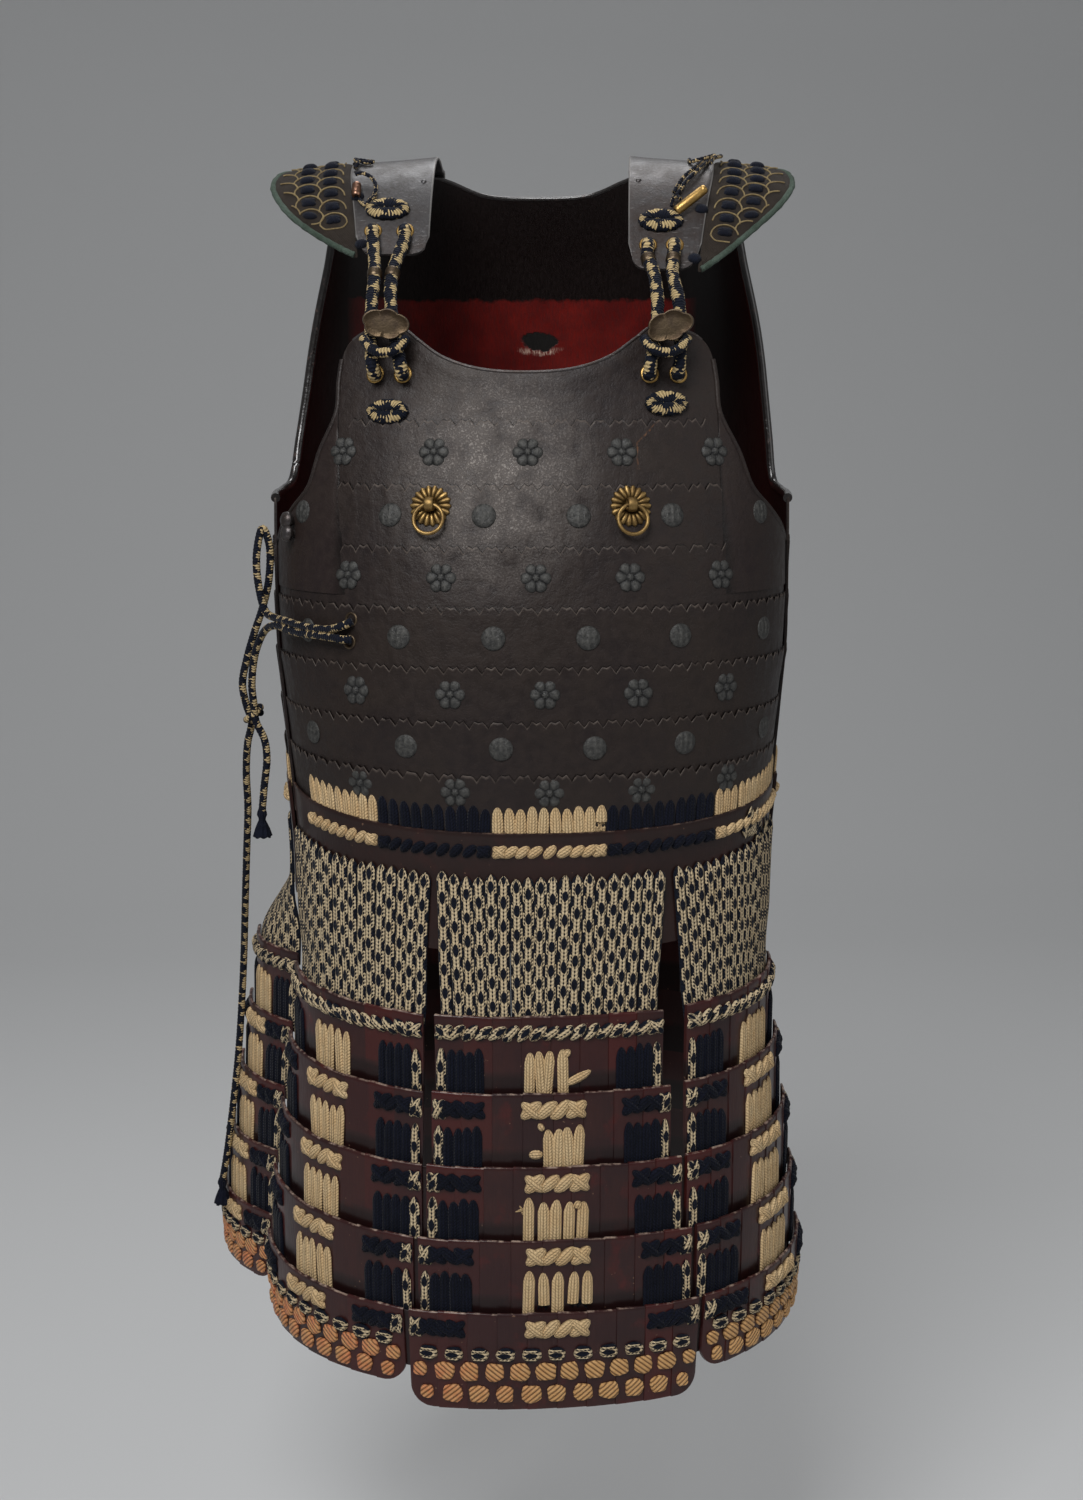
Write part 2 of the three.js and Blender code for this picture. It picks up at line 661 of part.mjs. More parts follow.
for (const [letter, side] of [["L", 1], ["R", -1]]) {
  armour.add(
    shoulderStrap(`shoulder_strap_${letter}`, side),
    shoulderWing(`shoulder_wing_${letter}`, side),
    shoulderCord(`shoulder_cord_${letter}`, side),
    shoulderToggle(`shoulder_toggle_${letter}`, side),
  );
  const frame = chestFrame(side * RING.angle, RING.z);
  frame.add(ringMount(`ring_mount_${letter}`), ring(`ring_${letter}`));
  armour.add(frame);
}

armour.add(
  tieCord("tie_cord_long", TIE_CORD_LONG),
  tieCord("tie_cord_short", TIE_CORD_SHORT),
);

for (const panel of PANELS) {
  armour.add(lacingCurtain(panel));
  TIERS.forEach((_, index) => armour.add(lame(panel, index)));
}

export default armour;
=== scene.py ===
"""Finish of the lamellar armour: an iron cuirass whose seven skirt panels hang on laced braid.

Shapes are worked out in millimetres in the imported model's frame (+Z up, -Y the wearer's front,
+X the wearer's left) and put into meshes in metres.
"""

import json

import bpy
import numpy as np
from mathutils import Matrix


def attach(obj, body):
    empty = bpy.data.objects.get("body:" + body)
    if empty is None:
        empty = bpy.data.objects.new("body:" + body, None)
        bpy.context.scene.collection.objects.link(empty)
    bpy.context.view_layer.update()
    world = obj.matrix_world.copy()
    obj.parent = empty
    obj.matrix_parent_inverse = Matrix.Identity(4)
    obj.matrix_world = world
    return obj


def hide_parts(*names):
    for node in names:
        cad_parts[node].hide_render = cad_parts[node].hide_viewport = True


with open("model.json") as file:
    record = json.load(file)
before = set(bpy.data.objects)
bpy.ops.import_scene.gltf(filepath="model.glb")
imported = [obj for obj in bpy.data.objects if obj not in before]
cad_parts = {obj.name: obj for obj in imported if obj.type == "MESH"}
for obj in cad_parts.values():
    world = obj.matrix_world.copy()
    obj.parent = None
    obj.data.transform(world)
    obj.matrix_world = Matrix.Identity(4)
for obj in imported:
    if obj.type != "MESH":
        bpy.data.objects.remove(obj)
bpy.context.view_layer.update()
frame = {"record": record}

MM = 0.001
PI = np.pi
chance = np.random.default_rng(11)

# ---------------------------------------------------------------- camera, floor and light

CAMERA_PLACE = (-0.1238, -1.4949, -0.165)
CAMERA_PITCH_DOWN = 9.5
CAMERA_HEADING = -5.0
FLOOR_Z = -1.15


def set_stage():
    """Camera, a pale world and three soft lights; the pale floor that curves up into a backdrop is made at the end of
    the script.
    """
    scene = bpy.context.scene
    scene.view_settings.view_transform = "Standard"
    camera = bpy.data.objects.new("camera", bpy.data.cameras.new("camera"))
    camera.data.lens = 50
    camera.data.sensor_width = 36
    camera.location = CAMERA_PLACE
    camera.rotation_euler = (np.radians(90 - CAMERA_PITCH_DOWN), 0, np.radians(CAMERA_HEADING))
    scene.collection.objects.link(camera)
    scene.camera = camera
    for name, place, aim, size, watts in [
        ("key_light", (-0.75, -1.8, 1.35), (0, 0, -0.35), 1.1, 50),
        ("fill_light", (1.9, -1.5, 0.5), (0, 0, -0.4), 1.6, 8),
        ("top_light", (0.1, 0.9, 1.9), (0, 0, -0.3), 1.2, 24),
    ]:
        lamp = bpy.data.lights.new(name, "AREA")
        lamp.size = size
        lamp.energy = watts
        light = bpy.data.objects.new(name, lamp)
        light.location = place
        toward = np.array(aim) - np.array(place)
        flat = np.hypot(toward[0], toward[1])
        light.rotation_euler = (PI / 2 + np.arctan2(toward[2], flat), 0, np.arctan2(-toward[0], toward[1]))
        scene.collection.objects.link(light)
    world = bpy.data.worlds.new("studio")
    world.use_nodes = True
    world.node_tree.nodes["Background"].inputs["Color"].default_value = linear("#e8e9ea")
    world.node_tree.nodes["Background"].inputs["Strength"].default_value = 0.2
    scene.world = world


# ---------------------------------------------------------------- tables shared with the solids

# Horizontal sections of the trunk and skirt, hem to shoulder.
SECTION_Z = [-850, -810, -750, -690, -630, -575, -530, -480, -440, -380, -320, -260, -200, -146, -115, -60, 0]
SECTIONS = {
    "half_width": [200, 197, 191, 184, 176, 170, 167, 168, 171, 176, 180, 180, 179, 176, 172, 160, 146],
    "front_depth": [172, 169, 164, 158, 152, 146, 140, 140, 143, 146, 144, 134, 116, 97, 88, 84, 74],
    "back_depth": [148, 146, 140, 132, 126, 120, 114, 114, 120, 128, 134, 136, 134, 128, 122, 108, 82],
}
SECTION_POWER = 2.3
CHEST_TURN = 7.5  # degrees, gained between these heights
TURN_FROM, TURN_TO = -450, -100

PLATE_BOTTOM = -470
SIDE_RISE = 20
BACK_STEP = 3.2
WAIST_TOP, WAIST_BOTTOM, WAIST_OUT = -449, -530, 3.0

# Top edge of each plate as (angle from its middle, height).
FRONT_EDGE = [
    (0, -146), (8, -143.5), (15, -136), (21, -124.5), (26, -116), (33, -117), (38.5, -122), (42, -131),
    (43.4, -150), (43.8, -172), (50, -199), (54.8, -222), (63, -236), (71.8, -248), (79, -258), (86, -265),
]
BACK_EDGE = [
    (0, -17), (12, -15), (22, -6), (27, -3), (40, -8), (52, -18), (61, -30), (65, -45),
    (65.5, -70), (66.5, -110), (68, -150), (71, -190), (75, -222), (82, -228), (90, -230), (98, -232),
]

# Skirt panels: the angles between which each of the five tiers lies, those of the braid curtain at its
# foot and its top, the hem's height and the outward swing in degrees.
EVEN = np.ones(5)
PANELS = {
    "front_centre": dict(
        start=(-23, -23, -23.4, -24.6, -26), end=(23.2, 24, 25.6, 27, 27.8),
        lace_start=(-21.7, -22.8), lace_end=(22.4, 24.2), hem=-844, swing=0,
    ),
    "front_L": dict(
        start=(29.5, 27.8, 26.8, 28.2, 29.2), end=84 * EVEN, lace_start=(30.4, 26.2), lace_end=(80, 80), hem=-830, swing=0
    ),
    "front_R": dict(
        start=-84 * EVEN, end=(-26, -25.2, -24.6, -25.8, -27.4), lace_start=(-80, -80), lace_end=(-26.6, -24),
        hem=-830, swing=0,
    ),
    "side_L": dict(start=92 * EVEN, end=133 * EVEN, lace_start=(93, 93), lace_end=(132, 132), hem=-830, swing=0),
    "back_L": dict(start=136 * EVEN, end=177 * EVEN, lace_start=(137, 137), lace_end=(176, 176), hem=-830, swing=0),
    "back_R": dict(start=183 * EVEN, end=224 * EVEN, lace_start=(184, 184), lace_end=(223, 223), hem=-830, swing=0),
    "side_R": dict(start=227 * EVEN, end=268 * EVEN, lace_start=(228, 228), lace_end=(267, 267), hem=-830, swing=47),
}
SWING_FROM, SWING_TO = -565, -485
TIER_TOPS = [-573, -625, -675, -725, -775]
TIER_BOTTOMS = [-635, -687, -737, -787, None]
LAME_WALL, LAME_OUT_TOP, LAME_OUT_BOTTOM, LAME_SIDE_LIFT, LAME_CORNER = 2.2, 6.0, -1.5, 7.0, 16.0
CURTAIN_WALL, CURTAIN_TOP, CURTAIN_TUCK, CURTAIN_CLEARANCE = 2.8, -479, 10, 0.9

STRAP_INNER_X = 69
STRAP_ROWS = [  # inner y, inner z, outer x, outer y, outer z
    (-46, -66, 116, -46, -66), (-28, -38, 120, -28, -38), (-4, -12, 125, -4, -12),
    (20, 2, 126, 20, -1), (44, 5, 126, 42, -4), (68, 1, 126, 58, -9),
]
STRAP_WALL, STRAP_CORNER, STRAP_WIDTH, STRAP_LENGTH = 2.2, 12, 47, 170
STRAP_REACH = {1: 0.42, -1: 0.04}  # how much further a strap's front end comes down, in steps between rows

SHOULDER_CORD = 9.0
SHOULDER_ROUTE = [
    (101, -86.5, -147), (101.2, -93.2, -147), (102, -96, -140), (103, -90.5, -124), (104.5, -80, -100),
    (105, -66, -80), (104.5, -55.5, -63), (103.5, -41.2, -42), (101, -32, -30), (94, -26.7, -24.5),
    (87, -32, -30), (84.5, -41.2, -42), (86, -55.5, -63), (88, -66, -80), (89, -80, -100),
    (86, -92.5, -124), (83, -100.5, -140), (82, -98.5, -147), (82, -92, -147),
]
TOGGLE_PLACE = (95.5, -99.3, -116)

RING_ANGLE, RING_Z, RING_HEIGHT, RING_MAJOR, RING_WIRE = 18.3, -233, 5.2, 9.9, 1.3

TIE_CORD = 5.4
TIE_LONG = [
    (-129, -111, -309), (-135, -110, -311), (-144, -103, -313), (-154.5, -92.5, -314), (-165.5, -80.5, -314),
    (-173, -70, -313.5), (-181, -57, -313), (-188.5, -47, -309), (-193.5, -45, -288), (-193.8, -46, -267),
    (-189.5, -46, -251), (-185.3, -45, -262), (-186, -41, -285), (-191, -35, -306), (-198, -29, -326),
    (-203.5, -26, -344), (-207, -24, -362), (-204.5, -21, -378), (-201.5, -18, -389), (-205, -12, -406),
    (-207, -2, -428), (-207, 8, -456), (-209, 20, -486), (-211, 32, -514), (-213, 44, -544),
    (-215, 54, -576), (-217.5, 59, -612), (-221, 56, -655), (-226.5, 54, -700), (-232, 54, -738),
    (-236, 56, -760),
]
TIE_SHORT = [
    (-129.5, -112.5, -321), (-135, -111.5, -322), (-144, -104, -323), (-154.5, -93, -324),
    (-165, -81.5, -325), (-173, -71, -325), (-181, -59, -324), (-189, -47, -326), (-195.5, -38, -334),
    (-198.5, -34, -346), (-200, -33, -362), (-199, -30, -376), (-198, -27, -388), (-192.5, -26, -401),
    (-191, -25, -415), (-193.5, -22, -436), (-195.5, -20, -455),
]


# ---------------------------------------------------------------- curves and the body form


def monotone(keys, values, at):
    """Cubic through the table's rows whose slope at a row is the harmonic mean of its neighbours'."""
    keys, values = np.asarray(keys, float), np.asarray(values, float)
    step = np.diff(keys)
    slope = np.diff(values) / step
    inner = np.where(slope[1:] * slope[:-1] > 0, 2 * slope[1:] * slope[:-1] / (slope[1:] + slope[:-1] + 1e-12), 0)
    tangent = np.concatenate([slope[:1], inner, slope[-1:]])
    at = np.clip(at, keys[0], keys[-1])
    i = np.clip(np.searchsorted(keys, at) - 1, 0, len(step) - 1)
    t = (at - keys[i]) / step[i]
    return (
        values[i] * (1 + 2 * t) * (1 - t) ** 2
        + values[i + 1] * t**2 * (3 - 2 * t)
        + tangent[i] * step[i] * t * (1 - t) ** 2
        + tangent[i + 1] * step[i] * t**2 * (t - 1)
    )


def path_through(points, spacing=None, count=None):
    """A smooth curve through the points (Catmull-Rom, knots at the root of each chord), cut evenly."""
    p = np.asarray(points, float)
    p = np.vstack([2 * p[0] - p[1], p, 2 * p[-1] - p[-2]])
    knot = np.maximum(np.linalg.norm(np.diff(p, axis=0), axis=1), 1e-6) ** 0.5
    before, here, after = knot[:-2, None], knot[1:-1, None], knot[2:, None]
    a, b, c, d = p[:-3], p[1:-2], p[2:-1], p[3:]
    leave = ((b - a) / before - (c - a) / (before + here) + (c - b) / here) * here
    arrive = ((c - b) / here - (d - b) / (here + after) + (d - c) / after) * here
    t = np.linspace(0, 1, 24, endpoint=False)[:, None, None]
    curve = (
        b * (1 + 2 * t) * (1 - t) ** 2 + c * t**2 * (3 - 2 * t) + leave * t * (1 - t) ** 2 + arrive * t**2 * (t - 1)
    )
    curve = np.vstack([curve.transpose(1, 0, 2).reshape(-1, p.shape[1]), p[-2]])
    far = np.concatenate([[0], np.cumsum(np.linalg.norm(np.diff(curve, axis=0), axis=1))])
    count = count or int(round(far[-1] / spacing)) + 1
    at = np.linspace(0, far[-1], count)
    return np.stack([np.interp(at, far, column) for column in curve.T], -1), at


def smoothstep(value, low, high):
    """0 below low, 1 above high, and 3t^2 - 2t^3 between."""
    t = np.clip((value - low) / (high - low), 0, 1)
    return t * t * (3 - 2 * t)


def turned(points, degrees, pivot=(0, 0)):
    """Points turned about a vertical line through the pivot."""
    angle = np.radians(degrees)
    x, y = points[..., 0] - pivot[0], points[..., 1] - pivot[1]
    return np.stack(
        [
            x * np.cos(angle) - y * np.sin(angle) + pivot[0],
            x * np.sin(angle) + y * np.cos(angle) + pivot[1],
            points[..., 2],
        ],
        -1,
    )


def worn(points):
    """Points turned with the chest, which sits a little askew above the waist."""
    points = np.asarray(points, float)
    return turned(points, -CHEST_TURN * smoothstep(points[..., 2], TURN_FROM, TURN_TO))


def on_body(angle, z, out=0.0):
    """The body form: x = (a + out) s, y = -(b + out) c, where s and c are the sine and cosine of the
    angle from the front middle, each to the power 2/2.3 with its sign kept, and a and b come from the
    table of sections at that height."""
    angle, z, out = np.broadcast_arrays(*(np.asarray(value, float) for value in (angle, z, out)))
    sine, cosine = np.sin(np.radians(angle)), np.cos(np.radians(angle))
    half = monotone(SECTION_Z, SECTIONS["half_width"], z) + out
    front = monotone(SECTION_Z, SECTIONS["front_depth"], z)
    back = monotone(SECTION_Z, SECTIONS["back_depth"], z)
    depth = np.where(cosine > 0, front, back) + out
    power = 2 / SECTION_POWER
    x = half * np.sign(sine) * np.abs(sine) ** power
    y = -depth * np.sign(cosine) * np.abs(cosine) ** power
    return worn(np.stack([x, y, z], -1))


def side_rise(angle):
    """How far the waist line climbs at an angle."""
    return SIDE_RISE * (1 - np.abs(np.cos(np.radians(angle))))


def angle_at(x, z):
    """The front angle at which the body form is x from the middle, before the chest's turn."""
    half = monotone(SECTION_Z, SECTIONS["half_width"], z)
    return np.degrees(np.arcsin(np.clip(np.abs(x) / half, 0, 1) ** (SECTION_POWER / 2))) * np.sign(x)


def on_panel(panel):
    """The surface of a hanging panel: the body form, turned about the panel's front edge where it swings."""

    def surface(angle, z, out=0.0):
        points = on_body(angle, z, out)
        if not panel["swing"]:
            return points
        pivot = on_body(panel["end"][0], points[..., 2], 0)
        swing = panel["swing"] * (1 - smoothstep(points[..., 2], SWING_FROM, SWING_TO))
        return turned(points, swing, (pivot[..., 0], pivot[..., 1]))

    return surface


def side_lift(angle):
    """How far tiers and hem climb towards the sides."""
    from_front = np.minimum(np.abs(angle), 360 - np.abs(angle))
    return LAME_SIDE_LIFT * np.clip((from_front - 26.5) / (84 - 26.5), 0, 1)


def even_angles(start, end, z, count=None, spacing=None, phase=0.0):
    """Angles an equal distance apart round the body form at one height."""
    angle = np.linspace(start, end, 400)
    points = on_body(angle, z)
    far = np.concatenate([[0], np.cumsum(np.linalg.norm(np.diff(points, axis=0), axis=1))])
    if count is None:
        at = np.arange(phase, far[-1], spacing)
    else:
        at = (np.arange(count) + 0.5) / count * far[-1]
    return np.interp(at, far, angle)


def degrees_per_mm(angle, z):
    """How much angle one millimetre round the body form takes."""
    reach = np.linalg.norm(on_body(angle + 0.5, z) - on_body(angle - 0.5, z), axis=-1)
    return 1 / reach


# ---------------------------------------------------------------- meshes from arrays


def swept(points, uv=None, tint=None, closed=False, tone=None):
    """Quads over sections of an even number of points at m stations, points[..., section, station, 3].
    Each end is closed by strips from side to side, or the last station joins the first.
    uv[..., section + 1, station, 2] follows the surface and doesn't wrap."""
    ring, stations = points.shape[-3:-1]
    copies = int(np.prod(points.shape[:-3], dtype=int))
    row, column = np.arange(ring)[:, None], np.arange(stations if closed else stations - 1)
    below, right = (row + 1) % ring, (column + 1) % stations
    quads = np.stack([row * stations + column, below * stations + column, below * stations + right, row * stations + right], -1)
    width = stations + 1 if closed else stations
    corners = np.stack([row * width + column, (row + 1) * width + column, (row + 1) * width + column + 1, row * width + column + 1], -1)
    quads, corners = quads.reshape(-1, 4), corners.reshape(-1, 4)
    if not closed:
        k = np.arange(ring // 2 - 1)
        cap = np.stack([k, k + 1, ring - 2 - k, ring - 1 - k], -1) * stations
        quads = np.vstack([quads, cap[:, ::-1], cap + stations - 1])
        corners = np.vstack([corners, cap[:, ::-1], cap + stations - 1])
    if uv is None:
        uv = np.stack(np.meshgrid(np.linspace(0, 1, ring + 1), np.linspace(0, 1, width), indexing="ij"), -1)
    uv = np.broadcast_to(uv, points.shape[:-3] + uv.shape[-3:]).reshape(copies, -1, 2)
    faces = (quads[None] + (np.arange(copies) * ring * stations)[:, None, None]).reshape(-1, 4)
    flat = points.reshape(-1, 3)
    a, b, c, d = (flat[faces[:, i]] for i in range(4))
    volume = np.einsum("ij,ij->i", a - flat.mean(0), np.cross(b - a, c - a) + np.cross(c - a, d - a)).sum()
    laid = uv[:, corners].reshape(-1, 4, 2)
    if volume < 0:
        faces, laid = faces[:, ::-1], laid[:, ::-1]
    shades = {
        name: np.broadcast_to(0.0 if value is None else value, points.shape[:-1]).ravel()
        for name, value in (("tint", tint), ("tone", tone))
    }
    return dict(points=flat, faces=faces, uv=laid, **shades)


def build(name, parts, material, slot, body="root", replaces=(), sharp=38):
    """One object from swept parts: metres, smooth faces with edges kept sharp past an angle."""
    parts = parts if isinstance(parts, list) else [parts]
    start = np.concatenate([[0], np.cumsum([len(part["points"]) for part in parts])[:-1]])
    points = np.vstack([part["points"] for part in parts]) * MM
    faces = np.vstack([part["faces"] + first for part, first in zip(parts, start)])
    mesh = bpy.data.meshes.new(name)
    mesh.vertices.add(len(points))
    mesh.vertices.foreach_set("co", points.ravel())
    mesh.loops.add(faces.size)
    mesh.loops.foreach_set("vertex_index", faces.ravel().astype(np.int32))
    mesh.polygons.add(len(faces))
    mesh.polygons.foreach_set("loop_start", np.arange(0, faces.size, 4, dtype=np.int32))
    mesh.update(calc_edges=True)
    layer = mesh.uv_layers.new(name="lie")
    layer.data.foreach_set("uv", np.vstack([part["uv"] for part in parts]).ravel())
    for shade in ("tint", "tone"):
        values = mesh.attributes.new(shade, "FLOAT", "POINT")
        values.data.foreach_set("value", np.concatenate([part[shade] for part in parts]))
    mesh.polygons.foreach_set("use_smooth", np.ones(len(faces), bool))
    mesh.set_sharp_from_angle(angle=np.radians(sharp))
    mesh.materials.append(material)
    obj = bpy.data.objects.new(name, mesh)
    bpy.context.scene.collection.objects.link(obj)
    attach(obj, body)
    if replaces:
        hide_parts(*replaces)
    return obj


def tube(path, radius, sides=12, reference=(0, 0, 1), closed=False, lengths=None):
    """A round section carried along a path. Its first point faces the reference direction; the radius
    may change along the path or around it, as an array (sides, stations)."""
    ahead = np.gradient(path, axis=0) if not closed else np.roll(path, -1, 0) - np.roll(path, 1, 0)
    ahead /= np.linalg.norm(ahead, axis=1)[:, None]
    up = np.broadcast_to(np.asarray(reference, float), path.shape)
    up = up - np.sum(up * ahead, 1)[:, None] * ahead
    up /= np.linalg.norm(up, axis=1)[:, None]
    side = np.cross(ahead, up)
    angle = np.arange(sides) / sides * 2 * PI
    radius = np.broadcast_to(radius, (sides, len(path)))[..., None]
    points = path + radius * (np.cos(angle)[:, None, None] * up + np.sin(angle)[:, None, None] * side)
    if lengths is None:
        lengths = np.concatenate([[0], np.cumsum(np.linalg.norm(np.diff(path, axis=0), axis=1))])
    if closed:
        lengths = np.append(lengths, lengths[-1] + np.linalg.norm(path[0] - path[-1]))
    around = np.linspace(0, 1, sides + 1)
    uv = np.stack(np.meshgrid(around, lengths, indexing="ij"), -1)
    return swept(points, uv, closed=closed)


def turned_solid(profile, sides, place, axes, swell=None, tint=None):
    """A profile of (radius, height) spun about an axis and set on a frame of three axes (across, up,
    outward). swell(angle, share) may multiply its radius and raise its height."""
    radius, height = np.asarray(profile, float).T
    angle = np.arange(sides)[:, None] / sides * 2 * PI
    share = radius / radius.max()
    grow, lift = swell(angle, share) if swell else (1.0, 0.0)
    r, h = radius * grow, height + lift
    local = np.stack(np.broadcast_arrays(r * np.cos(angle), r * np.sin(angle), h), -1)
    uv = np.stack(
        np.broadcast_arrays(np.linspace(0, 1, sides + 1)[:, None], radius[None] * np.ones((sides + 1, 1))), -1
    )
    return swept(local @ np.asarray(axes) + np.asarray(place), uv, tint)


def plate_frame(angle, z, out=0.0, surface=on_body):
    """Place and axes on a surface at an angle and height: across, up the surface, outward."""
    across = surface(angle + 0.5, z, out) - surface(angle - 0.5, z, out)
    across /= np.linalg.norm(across)
    upward = surface(angle, z + 2, out) - surface(angle, z - 2, out)
    outward = np.cross(across, upward)
    outward /= np.linalg.norm(outward)
    return surface(angle, z, out), np.stack([across, np.cross(outward, across), outward])


def wall(surface, angles, low, high, face, back, rows=24, rim=3, tint=None, extra=None, tone=None):
    """A wall over columns of angles, from low to high, between the offsets face and back, with a
    rounded top rim. face and back may change with share of height: callables of (angle, share)."""
    share = np.append(np.linspace(0, 0.97, rows - 1), 1)
    bend = np.linspace(0, PI, rim + 2)[1:-1]
    shares = np.concatenate([share, np.ones(rim), share[::-1]])
    side = np.concatenate([np.zeros(rows), (1 - np.cos(bend)) / 2, np.ones(rows)])
    crown = np.concatenate([np.zeros(rows), np.sin(bend), np.zeros(rows)])
    if (2 * rows + rim) % 2:
        shares, side, crown = (np.append(value, value[-1]) for value in (shares, side, crown))
        shares[-1], side[-1] = 0, 0.5
    angle = np.asarray(angles)[None, :]
    s, q = shares[:, None], side[:, None]
    outer = face(angle, s) if callable(face) else face
    inner = back(angle, s) if callable(back) else back
    out = outer + (inner - outer) * q
    z = low + (high - low) * s + crown[:, None] * np.abs(outer - inner) / 2
    if extra is not None:
        out = out + extra(angle, s, q)
    points = surface(angle + 0 * s, z, out)
    far = np.concatenate([[0], np.cumsum(np.linalg.norm(np.diff(points[0], axis=0), axis=1))])
    uv = np.stack(np.broadcast_arrays(far[None, :], np.vstack([z, z[:1]]) + 0 * far[None, :]), -1)
    grid = angle + 0 * s, s + 0 * angle, q + 0 * angle
    wear, hue = (None if value is None else value(*grid) for value in (tint, tone))
    return swept(points, uv, wear, tone=hue)


# ---------------------------------------------------------------- materials


def linear(colour):
    """An sRGB hex colour as linear red, green, blue and alpha."""
    channel = np.array([int(colour[i : i + 2], 16) for i in (1, 3, 5)]) / 255
    light = np.where(channel <= 0.04045, channel / 12.92, ((channel + 0.055) / 1.055) ** 2.4)
    return (*light.tolist(), 1.0)


def add(material, kind, inputs, **settings):
    """Adds one node with its settings. Each input is a value, or another node's output to link."""
    made = material.node_tree.nodes.new("ShaderNode" + kind)
    for name, value in settings.items():
        setattr(made, name, value)
    for key, value in inputs.items():
        if isinstance(value, bpy.types.NodeSocket):
            material.node_tree.links.new(value, made.inputs[key])
        else:
            made.inputs[key].default_value = value
    return made


def material_of(name, **sockets):
    """A material, its shader and the object coordinates. Sockets hold what is the same all over."""
    material = bpy.data.materials.new(name)
    material.use_nodes = True
    shader = material.node_tree.nodes["Principled BSDF"]
    for key, value in sockets.items():
        shader.inputs[key.replace("_", " ")].default_value = value
    here = add(material, "TexCoord", {}).outputs["Object"]
    return material, shader, here


def mottle(material, where, size, low=0.35, high=0.65, detail=4.0, roughness=0.6):
    """Cloudy share from 0 to 1 whose blots are about size millimetres across."""
    cloud = add(material, "TexNoise", {"Vector": where, "Scale": 1 / (size * MM), "Detail": detail, "Roughness": roughness})
    spread = add(material, "MapRange", {"Value": cloud.outputs["Fac"], "From Min": low, "From Max": high})
    return spread.outputs["Result"]


def blend(material, share, first, second, mode="MIX"):
    """Colour between two colours, hex or linked, by a share."""
    ends = [linear(value) if isinstance(value, str) else value for value in (first, second)]
    return add(material, "MixRGB", {"Fac": share, "Color1": ends[0], "Color2": ends[1]}, blend_type=mode).outputs["Color"]


def reckon(material, operation, *values):
    """One sum on linked or plain numbers."""
    return add(material, "Math", dict(enumerate(values)), operation=operation).outputs["Value"]


def finish(material, shader, colour=None, roughness=None, height=None, depth=0.2):
    """Links colour, roughness and a height whose full range is depth millimetres."""
    links = material.node_tree.links
    if colour is not None:
        links.new(colour, shader.inputs["Base Color"])
    if roughness is not None:
        links.new(roughness, shader.inputs["Roughness"])
    if height is not None:
        bump = add(material, "Bump", {"Height": height, "Distance": depth * MM, "Strength": 1.0})
        links.new(bump.outputs["Normal"], shader.inputs["Normal"])
    return material


def russet_iron(name, first, second):
    """Iron under a rust-brown lacquer (sabi-nuri): matt and mottled, rubbed through to grey and
    finely pitted high on the breast, so it catches light there and stays dark elsewhere. Edges
    tinted above zero are paler, partly rubbed and partly painted highlight and glints; below zero the tint darkens the
    gusset seams and paints a dark, smooth shadow line along the nocked edges. Rust shows along a crack."""
    material, shader, here = material_of(name, Metallic=0.1, Specular_IOR_Level=0.3)
    broad = mottle(material, here, 70)
    fine = mottle(material, here, 7)
    pits = mottle(material, here, 1.3, 0.45, 0.6, 3)
    brown = blend(material, broad, first, second)
    brown = blend(material, reckon(material, "MULTIPLY", fine, 0.3), brown, "#352a25")
    away = add(
        material, "Mapping", {"Vector": here, "Location": (0.035, 0.115, 0.17), "Scale": (1, 1, 0.8)}
    ).outputs["Vector"]
    far = add(material, "VectorMath", {0: away}, operation="LENGTH").outputs["Value"]
    rubbed_and_strand_shade = add(
        material, "MapRange", {"Value": far, "From Min": 0.015, "From Max": 0.075, "To Min": 1.0, "To Max": 0.0}
    ).outputs["Result"]
    rubbed_and_strand_shade = reckon(material, "MULTIPLY", rubbed_and_strand_shade, mottle(material, here, 14, 0.3, 0.6))
    grain = reckon(material, "MULTIPLY_ADD", pits, 0.6, 0.3)
    colour = blend(material, reckon(material, "MULTIPLY", rubbed_and_strand_shade, grain), brown, "#8a837e")
    # Painted highlight: tint above zero paints edges paler, partly rubbed iron and partly painted glints.
    edge = add(material, "Attribute", {}, attribute_name="tint").outputs["Fac"]
    colour = blend(material, edge, colour, "#6a5f57")
    # Painted shadow: tint below zero paints the dark line along the nocked edges and darkens the gusset seams; both are
    # made smoother.
    thick = reckon(material, "MULTIPLY", edge, -1.0)
    colour = blend(material, thick, colour, "#120d0c")

    # The crack runs down the wearer's left breast: a wavering upright line that leans out at its top.
    place = add(material, "SeparateXYZ", {"Vector": here})
    x, y, z = (place.outputs[axis] for axis in "XYZ")
    lean = reckon(material, "MAXIMUM", reckon(material, "ADD", z, 0.192), 0.0)
    waver = reckon(material, "MULTIPLY_ADD", mottle(material, here, 5, 0.2, 0.8), 0.004, 0.0585)
    beside = reckon(material, "ABSOLUTE", reckon(material, "SUBTRACT", x, reckon(material, "ADD", waver, lean)))
    crack = add(material, "MapRange", {"Value": beside, "From Min": 0.0009, "From Max": 0.0003}).outputs["Result"]
    for low, high in ((-0.212, -0.205), (-0.176, -0.183)):
        end = add(material, "MapRange", {"Value": z, "From Min": low, "From Max": high}).outputs["Result"]
        crack = reckon(material, "MULTIPLY", crack, end)
    crack = reckon(material, "MULTIPLY", crack, reckon(material, "LESS_THAN", y, 0.0))
    crack = reckon(material, "MULTIPLY", crack, mottle(material, here, 2.5, 0.4, 0.65))
    colour = blend(material, crack, colour, "#63432c")
    rough = reckon(material, "MULTIPLY_ADD", fine, 0.14, 0.42)
    rough = reckon(material, "MULTIPLY_ADD", thick, -0.12, rough)
    height = reckon(material, "MULTIPLY_ADD", pits, reckon(material, "MULTIPLY_ADD", rubbed_and_strand_shade, 0.9, 0.22), fine)
    return finish(material, shader, colour, rough, height, 0.22)


